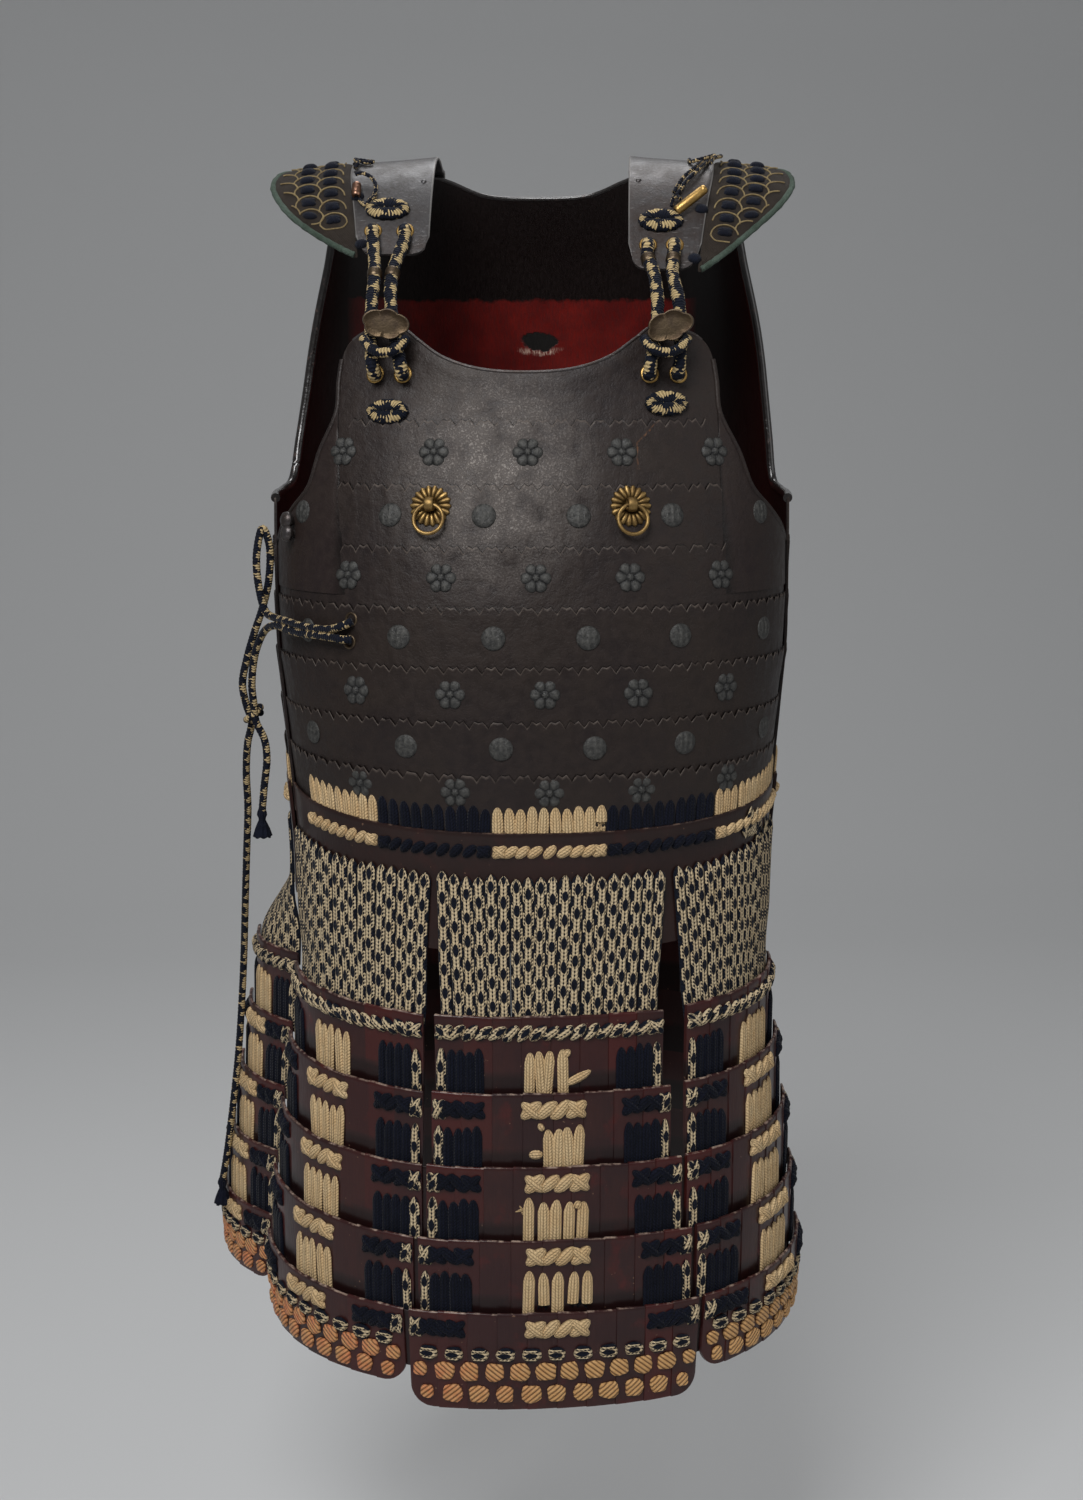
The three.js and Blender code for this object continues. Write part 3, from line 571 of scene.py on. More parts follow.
def patinated_iron():
    """Iron studs with a blue-grey patina: dull on top, dark in their hollows."""
    material, shader, here = material_of("patinated_iron", Metallic=0.35)
    grain = mottle(material, here, 2.5)
    colour = blend(material, grain, "#373736", "#52514e")
    hollow = add(material, "Attribute", {}, attribute_name="tint").outputs["Fac"]
    colour = blend(material, hollow, colour, "#171718")
    rough = reckon(material, "MULTIPLY_ADD", grain, 0.2, 0.45)
    return finish(material, shader, colour, rough, grain, 0.3)


def satin_iron():
    """Filed and waxed iron of the straps: a satin grey with fine scratches, going to a brown patina
    at its front end and bright along its rubbed edges."""
    material, shader, here = material_of("satin_grey_iron", Metallic=0.6)
    broad = mottle(material, here, 24, 0.4, 0.62)
    fine = mottle(material, here, 2)
    front = add(material, "SeparateXYZ", {"Vector": here}).outputs["Y"]
    brown = add(material, "MapRange", {"Value": front, "From Min": 0.0, "From Max": -0.045}).outputs["Result"]
    brown = reckon(material, "MULTIPLY", brown, mottle(material, here, 11, 0.25, 0.6))
    colour = blend(material, broad, "#4a494a", "#3a3736")
    colour = blend(material, reckon(material, "MULTIPLY", fine, 0.3), colour, "#5e5e62")
    colour = blend(material, reckon(material, "MULTIPLY", brown, 0.8), colour, "#3a2f2a")
    across = add(material, "Mapping", {"Vector": here, "Scale": (0.12, 1, 1), "Rotation": (0, 0.5, 0.3)}).outputs["Vector"]
    scratch = mottle(material, across, 1.2, 0.66, 0.7, 2)
    colour = blend(material, reckon(material, "MULTIPLY", scratch, 0.5), colour, "#8a8888")
    edge = add(material, "Attribute", {}, attribute_name="tint").outputs["Fac"]
    colour = blend(material, edge, colour, "#a09d9b")
    rough = reckon(material, "MULTIPLY_ADD", broad, 0.12, 0.36)
    return finish(material, shader, colour, rough, fine, 0.06)


def red_brown_lacquer(name, first, second, red, pale_edge):
    """Lacquered rawhide of the lames (kuri-iro urushi): deep chestnut under a clear gloss, redder
    where the layers are thin, and pale along its top edges, partly rubbed and partly painted highlight. The tone
    attribute says how red a lamella is, or below zero how much painted shade darkens it just above the row that hangs
    before it."""
    material, shader, here = material_of(name, Specular_IOR_Level=0.25, Coat_Weight=0.15, Coat_Roughness=0.18)
    broad = mottle(material, here, 38, 0.42, 0.62)
    along = add(material, "Mapping", {"Vector": here, "Scale": (1, 1, 0.12)}).outputs["Vector"]
    brushed = mottle(material, along, 1.6, 0.3, 0.7, 2)
    colour = blend(material, broad, first, second)
    colour = blend(material, reckon(material, "MULTIPLY", brushed, 0.25), colour, "#201313")
    tone = add(material, "Attribute", {}, attribute_name="tone").outputs["Fac"]
    thin = reckon(material, "MAXIMUM", mottle(material, here, 20, 0.55, 0.75), reckon(material, "MULTIPLY", tone, 0.9))
    colour = blend(material, reckon(material, "MULTIPLY", thin, 0.5), colour, red)
    # Painted shade: tone below zero darkens a lame low down, just above the row that hangs before it.
    colour = blend(material, reckon(material, "MULTIPLY", tone, -0.75), colour, "#180a0a")
    chips = mottle(material, here, 3.2, 0.77, 0.785, 1)
    colour = blend(material, chips, colour, "#6a5040")
    # Pale top edges: partly rubbed lacquer, partly painted highlight.
    edge = add(material, "Attribute", {}, attribute_name="tint").outputs["Fac"]
    glint_and_worn_edge = reckon(material, "MULTIPLY", edge, mottle(material, here, 6, 0.48, 0.66))
    colour = blend(material, glint_and_worn_edge, colour, pale_edge)
    rough = reckon(material, "MULTIPLY_ADD", brushed, 0.12, 0.32)
    return finish(material, shader, colour, rough, brushed, 0.05)


def red_lacquer():
    """Red lacquer inside the cuirass (shu urushi): brush lines run down it under the gloss. Above a
    line level with the breast's top it is nearly black, round the sides painted shade makes it
    nearly black, and at the middle of the back a frayed patch has worn through to the dark hide,
    its lower lip pale with a painted highlight."""
    material, shader, here = material_of("red_lacquer_lining", Specular_IOR_Level=0.3, Coat_Weight=0.25, Coat_Roughness=0.22)
    along = add(material, "Mapping", {"Vector": here, "Scale": (1, 1, 0.1)}).outputs["Vector"]
    brushed = mottle(material, along, 1.4, 0.3, 0.7, 3)
    broad = mottle(material, here, 30)
    colour = blend(material, broad, "#5a100e", "#741a15")
    colour = blend(material, reckon(material, "MULTIPLY", brushed, 0.5), colour, "#330a0a")
    place = add(material, "SeparateXYZ", {"Vector": here})
    ragged = reckon(material, "MULTIPLY_ADD", mottle(material, here, 9), 0.003, place.outputs["Z"])
    above = add(material, "MapRange", {"Value": ragged, "From Min": -0.0895, "From Max": -0.087}).outputs["Result"]
    # Painted shade: round the sides, from about 116 to 130 mm out from the middle, the lining is turned nearly black.
    aside = reckon(material, "ABSOLUTE", place.outputs["X"])
    beside = add(material, "MapRange", {"Value": aside, "From Min": 0.116, "From Max": 0.13}).outputs["Result"]
    dark = reckon(material, "MAXIMUM", above, beside)
    away = add(material, "Mapping", {"Vector": here, "Location": (-0.0163, -0.12, 0.2402), "Scale": (1, 1, 2.0)})
    far = add(material, "VectorMath", {0: away.outputs["Vector"]}, operation="LENGTH").outputs["Value"]
    far = reckon(material, "MULTIPLY_ADD", mottle(material, here, 6), 0.004, far)
    patch = add(
        material, "MapRange", {"Value": far, "From Min": 0.0155, "From Max": 0.0175, "To Min": 1.0, "To Max": 0.0}
    ).outputs["Result"]
    # Painted highlight: a pale, streaked lip below the worn patch.
    lip = add(material, "MapRange", {"Value": far, "From Min": 0.0245, "From Max": 0.0195}).outputs["Result"]
    below = add(material, "MapRange", {"Value": place.outputs["Z"], "From Min": -0.124, "From Max": -0.128})
    thread = mottle(material, along, 0.9, 0.42, 0.6, 2)
    lip = reckon(material, "MULTIPLY", reckon(material, "MULTIPLY", lip, below.outputs["Result"]), thread)
    colour = blend(material, lip, colour, "#c4a898")
    colour = blend(material, patch, colour, "#0e0b09")
    colour = blend(material, dark, colour, blend(material, brushed, "#0b0605", "#130908"))
    rough = reckon(material, "MULTIPLY_ADD", patch, 0.4, reckon(material, "MULTIPLY_ADD", brushed, 0.15, 0.34))
    return finish(material, shader, colour, rough, reckon(material, "MULTIPLY_ADD", patch, -4.0, brushed), 0.07)


def black_lacquer():
    """Black lacquer on the rolled rims: deep gloss with chips and rub marks."""
    material, shader, here = material_of("black_lacquer", Coat_Weight=0.8, Coat_Roughness=0.12)
    chips = mottle(material, here, 6, 0.6, 0.68)
    colour = blend(material, chips, "#15100f", "#3c2b26")
    rough = reckon(material, "MULTIPLY_ADD", chips, 0.3, 0.3)
    return finish(material, shader, colour, rough, mottle(material, here, 9), 0.3)


def gilt(name, bright, dull, roughness):
    """Brass: bright on its worn relief and browned in the hollows and over broad patches."""
    material, shader, here = material_of(name, Metallic=1.0)
    broad = mottle(material, here, 9)
    colour = blend(material, broad, dull, bright)
    hollow = add(material, "Attribute", {}, attribute_name="tint").outputs["Fac"]
    colour = blend(material, hollow, colour, "#2d1f10")
    rough = reckon(material, "MULTIPLY_ADD", broad, -0.12, roughness + 0.1)
    return finish(material, shader, colour, rough, mottle(material, here, 1.5), 0.05)


def braid(name, light, thread, diamonds=None):
    """Flat silk braid: ribs run its length, each of slanting threads, and the sheen is soft. They are
    2.1 mm apart, coarser than in the real braid so that they show. light holds two colours of the
    silk and a dark one painted as shade into its grooves and along its strands. With the two colours
    of diamonds it is the common arrow-feather braid: every 16.4 mm a dark lozenge down its middle,
    half ones on its edges between them, and lines of dark dashes."""
    material, shader, here = material_of(name, Specular_IOR_Level=0.15, Sheen_Weight=0.05, Sheen_Roughness=0.4)
    lie = add(material, "UVMap", {}, uv_map="lie").outputs["UV"]
    axes = add(material, "SeparateXYZ", {"Vector": lie})
    across, along = axes.outputs["X"], axes.outputs["Y"]
    aside = reckon(material, "ABSOLUTE", across)
    rib = reckon(material, "ABSOLUTE", reckon(material, "SINE", reckon(material, "MULTIPLY", across, PI / 2.1)))
    slant = reckon(material, "MULTIPLY_ADD", aside, 0.9, along)
    strand = reckon(material, "SINE", reckon(material, "MULTIPLY", slant, 2 * PI / thread))
    strand = reckon(material, "MULTIPLY_ADD", strand, 0.5, 0.5)
    stain = mottle(material, here, 16)
    speck = mottle(material, here, 1.5, 0.35, 0.65, 2)
    ground = blend(material, reckon(material, "MULTIPLY", stain, 0.5), light[0], light[1])
    # Painted shade: the grooves between the ribs are darkened.
    groove = reckon(material, "SUBTRACT", 1.0, rib)
    groove = reckon(material, "MULTIPLY", reckon(material, "POWER", groove, 2.0), 0.85)
    colour = blend(material, groove, ground, light[2])
    # Painted shade in patches along the slanting strands.
    rubbed_and_strand_shade = reckon(material, "MULTIPLY", reckon(material, "MULTIPLY", strand, speck), 0.45)
    colour = blend(material, rubbed_and_strand_shade, colour, light[2])
    if diamonds:
        period, half_width = 16.4, 3.95
        wavy = reckon(material, "MULTIPLY_ADD", mottle(material, here, 3, 0.3, 0.7, 2), 1.4, along)
        phase = reckon(material, "PINGPONG", wavy, period / 2)
        rest = reckon(material, "SUBTRACT", period / 2, phase)
        inset = reckon(material, "SUBTRACT", half_width, aside)
        lozenges = []
        for x, wide, y, tall in ((aside, 1.95, phase, 4.1), (inset, 1.75, rest, 4.3)):
            x, y = reckon(material, "DIVIDE", x, wide), reckon(material, "DIVIDE", y, tall)
            lozenges.append(reckon(material, "MULTIPLY_ADD", x, x, reckon(material, "MULTIPLY", y, y)))
        mark = reckon(material, "LESS_THAN", reckon(material, "MINIMUM", *lozenges), 1.0)
        rim = reckon(material, "GREATER_THAN", aside, 3.6)
        mark = reckon(material, "MAXIMUM", mark, rim)
        for middle, wide, gap in ((2.5, 0.4, 0.3), (0.0, 0.5, 0.45)):
            line = reckon(material, "LESS_THAN", reckon(material, "ABSOLUTE", reckon(material, "SUBTRACT", aside, middle)), wide)
            dashes = reckon(material, "MULTIPLY", line, reckon(material, "GREATER_THAN", strand, gap))
            mark = reckon(material, "MAXIMUM", mark, dashes)
        colour = blend(material, mark, colour, blend(material, speck, *diamonds))
    height = reckon(material, "MULTIPLY_ADD", rib, 1.4, strand)
    rough = reckon(material, "MULTIPLY_ADD", speck, 0.15, 0.8)
    return finish(material, shader, colour, rough, height, 0.3)


def round_braid(name, turns, period, cream, navy):
    """Round silk cord: two sets of strands cross at a slant, so cream and navy meet in blots with
    ragged, zigzag edges, turned round the cord and uneven along it."""
    material, shader, here = material_of(name, Specular_IOR_Level=0.15, Sheen_Weight=0.05, Sheen_Roughness=0.4)
    axes = add(material, "SeparateXYZ", {"Vector": add(material, "UVMap", {}, uv_map="lie").outputs["UV"]})
    around = reckon(material, "MULTIPLY", axes.outputs["X"], 2 * PI)
    run = reckon(material, "MULTIPLY_ADD", mottle(material, here, 9, 0.3, 0.7, 1), 0.3 * period, axes.outputs["Y"])
    along = reckon(material, "MULTIPLY", run, 2 * PI / period)
    speck = mottle(material, here, 1.6, 0.35, 0.65, 2)
    zig = reckon(material, "PINGPONG", around, PI / 6)
    strand = reckon(material, "MULTIPLY_ADD", zig, 2.4, reckon(material, "MULTIPLY", axes.outputs["Y"], 2 * PI / 1.9))
    strand = reckon(material, "SINE", strand)
    one = reckon(material, "SINE", reckon(material, "MULTIPLY_ADD", around, turns, along))
    other = reckon(material, "SINE", reckon(material, "MULTIPLY_ADD", around, -turns, along))
    check = reckon(material, "MULTIPLY", one, other)
    blot = reckon(material, "MULTIPLY_ADD", mottle(material, here, 5, 0.3, 0.7, 1), 0.7, -0.35)
    ragged = reckon(material, "ADD", check, reckon(material, "MULTIPLY_ADD", strand, 0.22, blot))
    ragged = reckon(material, "MULTIPLY_ADD", speck, 0.25, ragged)
    mark = reckon(material, "GREATER_THAN", ragged, -0.16)
    groove = reckon(material, "MULTIPLY_ADD", strand, 0.5, 0.5)
    # Painted shade: the cream darkens along the grooves between strands.
    ground = blend(material, reckon(material, "MULTIPLY", groove, 0.6), cream, "#5c4c30")
    dark = blend(material, reckon(material, "MULTIPLY", speck, 0.6), navy, "#141a2a")
    colour = blend(material, mark, ground, dark)
    return finish(material, shader, colour, reckon(material, "MULTIPLY_ADD", speck, 0.15, 0.7), groove, 0.4)


def corded_pad():
    """Cross-stitched hemp pads in a madder orange gone tan: strands lie on a slant with painted shade
    in the lines between them, redder towards the wearer's right, with paler blots painted on as
    highlight. They are 3.6 mm apart, coarser than in the real pads so that they show."""
    material, shader, here = material_of("madder_hemp_cord", Specular_IOR_Level=0.15, Sheen_Weight=0.05)
    axes = add(material, "SeparateXYZ", {"Vector": add(material, "UVMap", {}, uv_map="lie").outputs["UV"]})
    slope = reckon(material, "MULTIPLY_ADD", axes.outputs["X"], 0.85, axes.outputs["Y"])
    strand = reckon(material, "ABSOLUTE", reckon(material, "SINE", reckon(material, "MULTIPLY", slope, PI / 3.6)))
    side = add(material, "SeparateXYZ", {"Vector": here}).outputs["X"]
    redder = add(material, "MapRange", {"Value": side, "From Min": 0.0, "From Max": -0.09}).outputs["Result"]
    redder = reckon(material, "MULTIPLY", redder, mottle(material, here, 12, 0.3, 0.6))
    ground = blend(material, redder, "#c99a64", "#cb7650")
    # Painted highlight: paler blots over the strands.
    ground = blend(material, reckon(material, "MULTIPLY", mottle(material, here, 4), 0.4), ground, "#dab482")
    # Painted shade: dark lines in the gaps between the strands.
    gap = reckon(material, "POWER", reckon(material, "SUBTRACT", 1.0, strand), 1.4)
    colour = blend(material, gap, ground, "#5e3c22")
    return finish(material, shader, colour, None, strand, 0.7)


def cloth(name, first, second, thread):
    """Woven cloth: a plain weave of threads this far apart, faded in patches."""
    material, shader, here = material_of(name, Specular_IOR_Level=0.15, Sheen_Weight=0.05, Sheen_Roughness=0.5, Roughness=0.85)
    axes = add(material, "SeparateXYZ", {"Vector": here})
    warp = reckon(material, "SINE", reckon(material, "MULTIPLY", axes.outputs["X"], 2 * PI / (thread * MM)))
    weft = reckon(material, "SINE", reckon(material, "MULTIPLY", axes.outputs["Y"], 2 * PI / (thread * MM)))
    weave = reckon(material, "MULTIPLY", warp, weft)
    fade = mottle(material, here, 14)
    colour = blend(material, fade, first, second)
    colour = blend(material, reckon(material, "MULTIPLY", mottle(material, here, 1.5), 0.35), colour, "#1c1712")
    return finish(material, shader, colour, None, weave, 0.25)


# ---------------------------------------------------------------- lacing made by the hundred

# Section of a flat braid from edge to edge over its ribs, then back underneath: share of half its
# width, share of its height.
OVER = np.sin(np.linspace(-0.5, 0.5, 10) * PI)
UNDER = np.array([0.85, 0.3, -0.3, -0.85])
BRAID_ACROSS = np.concatenate([OVER, UNDER])
BRAID_HEIGHT = np.concatenate([np.maximum(1 - np.abs(OVER) ** 2.6, 0.02) ** 0.5, np.full(4, -0.15)])
BRAID_RIBS = np.concatenate([np.cos(OVER * 2 * PI * 2) * 0.07, np.zeros(4)])


def laces(surface, centre, top, bottom, width, height, base, tip=4.0, stations=8, lean=0.0, sway=0.0, foot=None):
    """Flat braids hanging side by side, one for each centre angle. Across a braid the section is a
    flattened arch; down it the width grows from a pointed tip as the root of the distance. base is
    the offset of the ground under them, as a callable of (angle, height); foot is the angle at their
    lower end where that is another one."""
    foot = centre if foot is None else foot
    rows = np.broadcast_arrays(*np.atleast_1d(centre, top, bottom, width, height, lean, sway, foot))
    centre, top, bottom, width, height, lean, sway, foot = (value[:, None, None] for value in rows)
    across, rise = BRAID_ACROSS[None, :, None], (BRAID_HEIGHT + BRAID_RIBS)[None, :, None]
    share = np.concatenate([[0, 0.02, 0.05, 0.1], np.linspace(0.2, 1, stations - 4)])[None, None, :]
    length = top - bottom
    down = share * length
    narrow = np.clip(down / tip, 0, 1) ** 0.55 * 0.85 + 0.15
    plump = np.clip(down / tip, 0, 1) ** 0.5 * 0.8 + 0.2
    rate = degrees_per_mm(centre, top)
    aside = across * width / 2 * narrow + lean * down + sway * np.sin(down / length * PI * 1.7 + centre)
    z = top - down + 0 * across
    angle = centre + (foot - centre) * down / length + aside * rate
    out = base(angle, z) + rise * height * plump
    points = surface(angle, z, out)
    u = np.concatenate([BRAID_ACROSS, BRAID_ACROSS[:1]])[None, :, None] * width / 2 + 0 * down
    v = down + 0 * u + chance.uniform(0, 200, centre.shape)
    return swept(points, np.stack([u, v], -1))


ROPE_OVER = np.sin(np.linspace(-0.5, 0.5, 9) * PI)
ROPE_ACROSS = np.concatenate([ROPE_OVER, [0.7, 0.0, -0.7]])
ROPE_HEIGHT = np.concatenate([np.maximum(1 - ROPE_OVER**2, 0.0) ** 0.5, np.full(3, -0.1)])


def stitches(surface, centre, z, length, width, height, slant, base):
    """Short fat stitches, one for each centre, that lie at a slant in degrees from level: a lens
    whose width and height shrink as root(1 - s^2) towards its ends."""
    centre, z, length, width, height, slant = (
        value[:, None, None] for value in np.broadcast_arrays(*np.atleast_1d(centre, z, length, width, height, slant))
    )
    across, rise = ROPE_ACROSS[None, :, None], ROPE_HEIGHT[None, :, None]
    s = np.sin(np.linspace(-0.5, 0.5, 7) * PI)[None, None, :]
    swell = np.maximum(1 - np.abs(s) ** 2.4, 0.02) ** 0.5
    tilt = np.radians(slant)
    run, aside = s * length / 2 * (1 + 0 * across), across * width / 2 * swell
    right = run * np.cos(tilt) - aside * np.sin(tilt)
    upward = run * np.sin(tilt) + aside * np.cos(tilt)
    rate = degrees_per_mm(centre, z)
    angle, high = centre + right * rate, z + upward
    out = base(angle, high) + rise * height * swell**1.2
    u = np.concatenate([ROPE_ACROSS, ROPE_ACROSS[:1]])[None, :, None] * width / 2 * (1 + 0 * s)
    v = s * length / 2 + 0 * u + chance.uniform(0, 200, centre.shape)
    return swept(surface(angle, high, out), np.stack([u, v], -1))


def crossed(surface, centre, z, length, width, height, base, slant=38):
    """Cross-knots: two stitches over each other."""
    return [
        stitches(surface, centre, z, length, width, height, -slant, base),
        stitches(surface, centre, z, length, width, height * 1.3, slant, base),
    ]


def pads(surface, centre, z, width, tall, height, base, corners=0.72, lean=1, turn=False):
    """Padded cross-stitches: a dome over a rounded square whose outline takes the cosine and sine to
    the power corners, so 1 makes an oval. lean says which way their strands slant; turn lays the
    weave on its side."""
    centre, z, width, tall, height = (
        value[:, None, None] for value in np.broadcast_arrays(*np.atleast_1d(centre, z, width, tall, height))
    )
    around = np.arange(16)[None, :, None] / 16 * 2 * PI
    shrink = np.array([1.0, 0.99, 0.88, 0.6, 0.3, 0.02])[None, None, :]
    dome = np.array([0.0, 0.5, 0.85, 1.0, 1.03, 1.03])[None, None, :]
    ragged = 1 + 0.05 * np.sin(5 * around + centre) + 0.03 * np.sin(3 * around + 2 * centre)
    x = np.sign(np.cos(around)) * np.abs(np.cos(around)) ** corners * shrink * width / 2 * ragged
    y = np.sign(np.sin(around)) * np.abs(np.sin(around)) ** corners * shrink * tall / 2 * ragged
    ribs = -0.12 * np.cos((lean * x * 0.85 + y) * 2 * PI / 3.6)
    angle, high = centre + x * degrees_per_mm(centre, z), z + y
    out = base(angle, high) + (dome + ribs * (dome > 0.7)) * height
    lie = np.stack([y, x] if turn else [lean * x, y], -1)
    lie = np.concatenate([lie, lie[:, :1]], 1)
    return swept(surface(angle, high, out), lie)


def tuft(surface, centre, z, aim, base, count=8, length=5.0, width=0.8, spread=25, scatter=2.0):
    """Loose ends of a torn lace: thin stitches about a point that fan out round the aim in degrees."""
    slant = aim + chance.normal(0, spread, count)
    reach = length * chance.uniform(0.5, 1.0, count)
    rate = degrees_per_mm(np.array(centre), np.array(z))
    middle = centre + (chance.normal(0, scatter, count) + reach / 2 * np.cos(np.radians(slant))) * rate
    high = z + chance.normal(0, scatter / 2, count) + reach / 2 * np.sin(np.radians(slant))
    return stitches(surface, middle, high, reach, width, 0.9, slant, base)


# ---------------------------------------------------------------- cords


def round_cord(name, route, diameter, reference, material, turns, period, sides=16, **how):
    """A braided cord along a smooth route: the radius swells where strands of either slant rise."""
    path, along = path_through(route, spacing=1.0)
    around = np.arange(sides)[:, None] / sides * 2 * PI
    run = along[None, :] * 2 * PI / period * 1.6
    swell = np.maximum(np.abs(np.sin(turns * around + run)), np.abs(np.sin(turns * around - run)))
    radius = diameter / 2 * (0.9 + 0.12 * swell)
    part = tube(path, radius, sides, reference, lengths=along)
    return build(name, part, material, "navy_cream_braid", **how), path, along[-1]


def tassel(end, diameter):
    """A tied bundle of ends: profile round a plumb axis, fluted into strands."""
    r = diameter / 2
    profile = [(0.05, 3), (r * 0.9, 2.5), (r + 0.5, 0), (r + 0.7, -2), (r - 0.2, -4), (r - 0.3, -5.5), (3.4, -8),
               (5.0, -12), (6.6, -17.4), (5.6, -18), (0.05, -16.5)]
    flutes = lambda angle, share: (1 + 0.09 * np.cos(11 * angle + 6 * share), 0.5 * np.cos(7 * angle) * (share > 0.7))
    return turned_solid(profile, 44, end, np.eye(3), flutes)


# How far the ties' first points lie from the solid cords' so that the two touch, in millimetres.
TIE_RISE_LONG = (0, -1.0, -2.0, -1.5, -0.5, 0.5, 1.0, 0.5)
TIE_RISE_SHORT = (0, 1.0, 2.8, 4.2, 5.4, 6.6, 7.2, 5.0)


def tie_cords(material, ends):
    """Both side cords with the knot that holds them together and their tassels."""
    knot_middle = np.array([-199.8, -22.5, -383.5])
    angle = np.linspace(0, 2.6 * PI, 60)
    wraps = knot_middle + np.stack(
        [4.9 * np.cos(angle), 6.0 * np.sin(angle), -2.6 + angle / (2.6 * PI) * 5.2 + 3.4 * np.cos(angle)], -1
    )
    knot = build("tie_knot", tube(wraps, 2.5, 14), material, "navy_cream_braid")
    for name, route, rise in [("long", TIE_LONG, TIE_RISE_LONG), ("short", TIE_SHORT, TIE_RISE_SHORT)]:
        route = np.array(route, float)
        route[: len(rise), 2] += rise
        cord, path, length = round_cord(
            f"tie_braid_{name}", route, TIE_CORD, (-0.7, -0.7, 0.1), material, 2, 9.0, replaces=[f"tie_cord_{name}"]
        )
        end = build(f"tie_tassel_{name}", tassel(path[-1], TIE_CORD), ends, "navy_cream_braid")


def sided(points, side):
    """Points given for the wearer's left, mirrored for the right, and turned with the chest."""
    return worn(np.asarray(points, float) * (side, 1, 1))


SLEEVES_X = 97.3
STRANDS = {  # grommet in the strap that each strand ends in: across, along; and where the sleeves sit
    1: dict(outer=(0.64, 0.065), inner=(0.26, 0.065), sleeve=-70, turn=-0.3, aside=-6.0, shift=(0, 0, 0)),
    -1: dict(outer=(0.77, 0.084), inner=(0.32, 0.084), sleeve=-80, turn=0.12, aside=0.0, shift=(3.5, 0, 1.5)),
}


def shoulder_cords(letter, side, braided, dull):
    """Two strands from the eyelets on the breast, under a cloud toggle and through a pair of sleeves,
    into the grommets of the strap, and the loop that is caught behind the toggle."""
    surface, made = on_strap(side), STRANDS[side]
    strands, sleeves = [], []

    def drawn(points):
        """Route points drawn together about the sleeves."""
        points = np.array(points, float)
        near = np.exp(-(((points[:, 2] - made["sleeve"]) / 28) ** 2))
        points[:, 0] += near * (made["aside"] - 0.3 * (points[:, 0] - SLEEVES_X))
        return sided(points, side)

    for points, (across, along) in ((SHOULDER_ROUTE[:6], made["outer"]), (SHOULDER_ROUTE[:12:-1], made["inner"])):
        over = [surface(across, along + step, height) for step, height in ((-0.035, 6.5), (-0.01, 7.2), (0.004, 2.5))]
        path, run = path_through(np.vstack([drawn(points), *over]), spacing=1.0)
        sides = 26
        around = np.arange(sides)[:, None] / sides * 2 * PI
        lumps = np.abs(np.sin(2 * around + run * 0.5)) * np.abs(np.sin(2 * around - run * 0.5 + 0.4))
        radius = SHOULDER_CORD / 2 * (0.92 + 0.1 * lumps + 0.03 * np.sin(run / 5 + side))
        strands.append(tube(path, radius, sides, (0.6 * side, 0.6, -0.5), lengths=run + 31 * across))
        at = int(np.argmin(np.abs(path[:, 2] - made["sleeve"])))
        bulge = SHOULDER_CORD / 2 + np.array([-0.1, 0.5, 0.7, 0.6, 0.6, 0.7, 0.5, -0.1])
        sleeves.append(tube(path[at - 4 : at + 4], bulge, 28, (0.6 * side, 0.6, -0.5)))
    build(f"shoulder_braid_{letter}", strands, braided, "navy_cream_braid", replaces=[f"shoulder_cord_{letter}"])
    build(f"twin_sleeves_{letter}", sleeves, dull, "brass")

    across, outward = (turned(np.array(axis), -CHEST_TURN) for axis in ((1.0, 0, 0), (0.0, -1, 0)))
    roll = made["turn"]
    upward = np.array([0.0, 0, 1])
    axes = np.stack([across * np.cos(roll) - upward * np.sin(roll), across * np.sin(roll) + upward * np.cos(roll), outward])
    cloud = lambda angle, share: (
        (0.87 + 0.16 * np.abs(np.cos(2.5 * angle + 0.4 * side)) ** 0.7)
        * 9.8 / np.hypot(9.8 * np.cos(angle), 16.0 * np.sin(angle)),
        0 * angle,
    )
    face = [(0.05, 0.4), (14.6, 0.4), (15.8, 1.0), (16.0, 2.0), (15.6, 2.9), (14.9, 3.1), (14.0, 2.75), (8, 2.9), (0.05, 3.0)]
    hollow = np.array([0, 0.3, 0.2, 0, 0, 0, 0.55, 0.1, 0])[None, :]
    toggle = turned_solid(face, 72, sided(TOGGLE_PLACE, side) - 0.2 * outward + made["shift"], axes, cloud, hollow)
    build(f"cloud_toggle_{letter}", toggle, dull, "brass", replaces=[f"shoulder_toggle_{letter}"])
    loop = [
        (78.5, -99.5, -124), (82, -104.8, -129), (88, -107.5, -132.5), (96, -106.5, -133), (103, -101.0, -129.5), (107.5, -94, -124),
    ]
    path, run = path_through(sided(loop, side), spacing=1.0)
    build(f"cross_loop_{letter}", tube(path, 3.3, 20, (0, 0, 1), lengths=run), braided, "navy_cream_braid")


def grommet(place, axes, radius, wire):
    """A turned eyelet: a torus of this radius and wire, flattened on its plate."""
    turn = np.linspace(0, 2 * PI, 13)[:-1]
    around = np.arange(36) / 36 * 2 * PI
    r = radius + wire * np.cos(turn)[:, None] * (1 + 0 * around)
    h = wire * 0.8 * np.sin(turn)[:, None] + 0 * around
    local = np.stack([r * np.cos(around), r * np.sin(around), h], -1)
    return swept(local @ axes + place, closed=True)


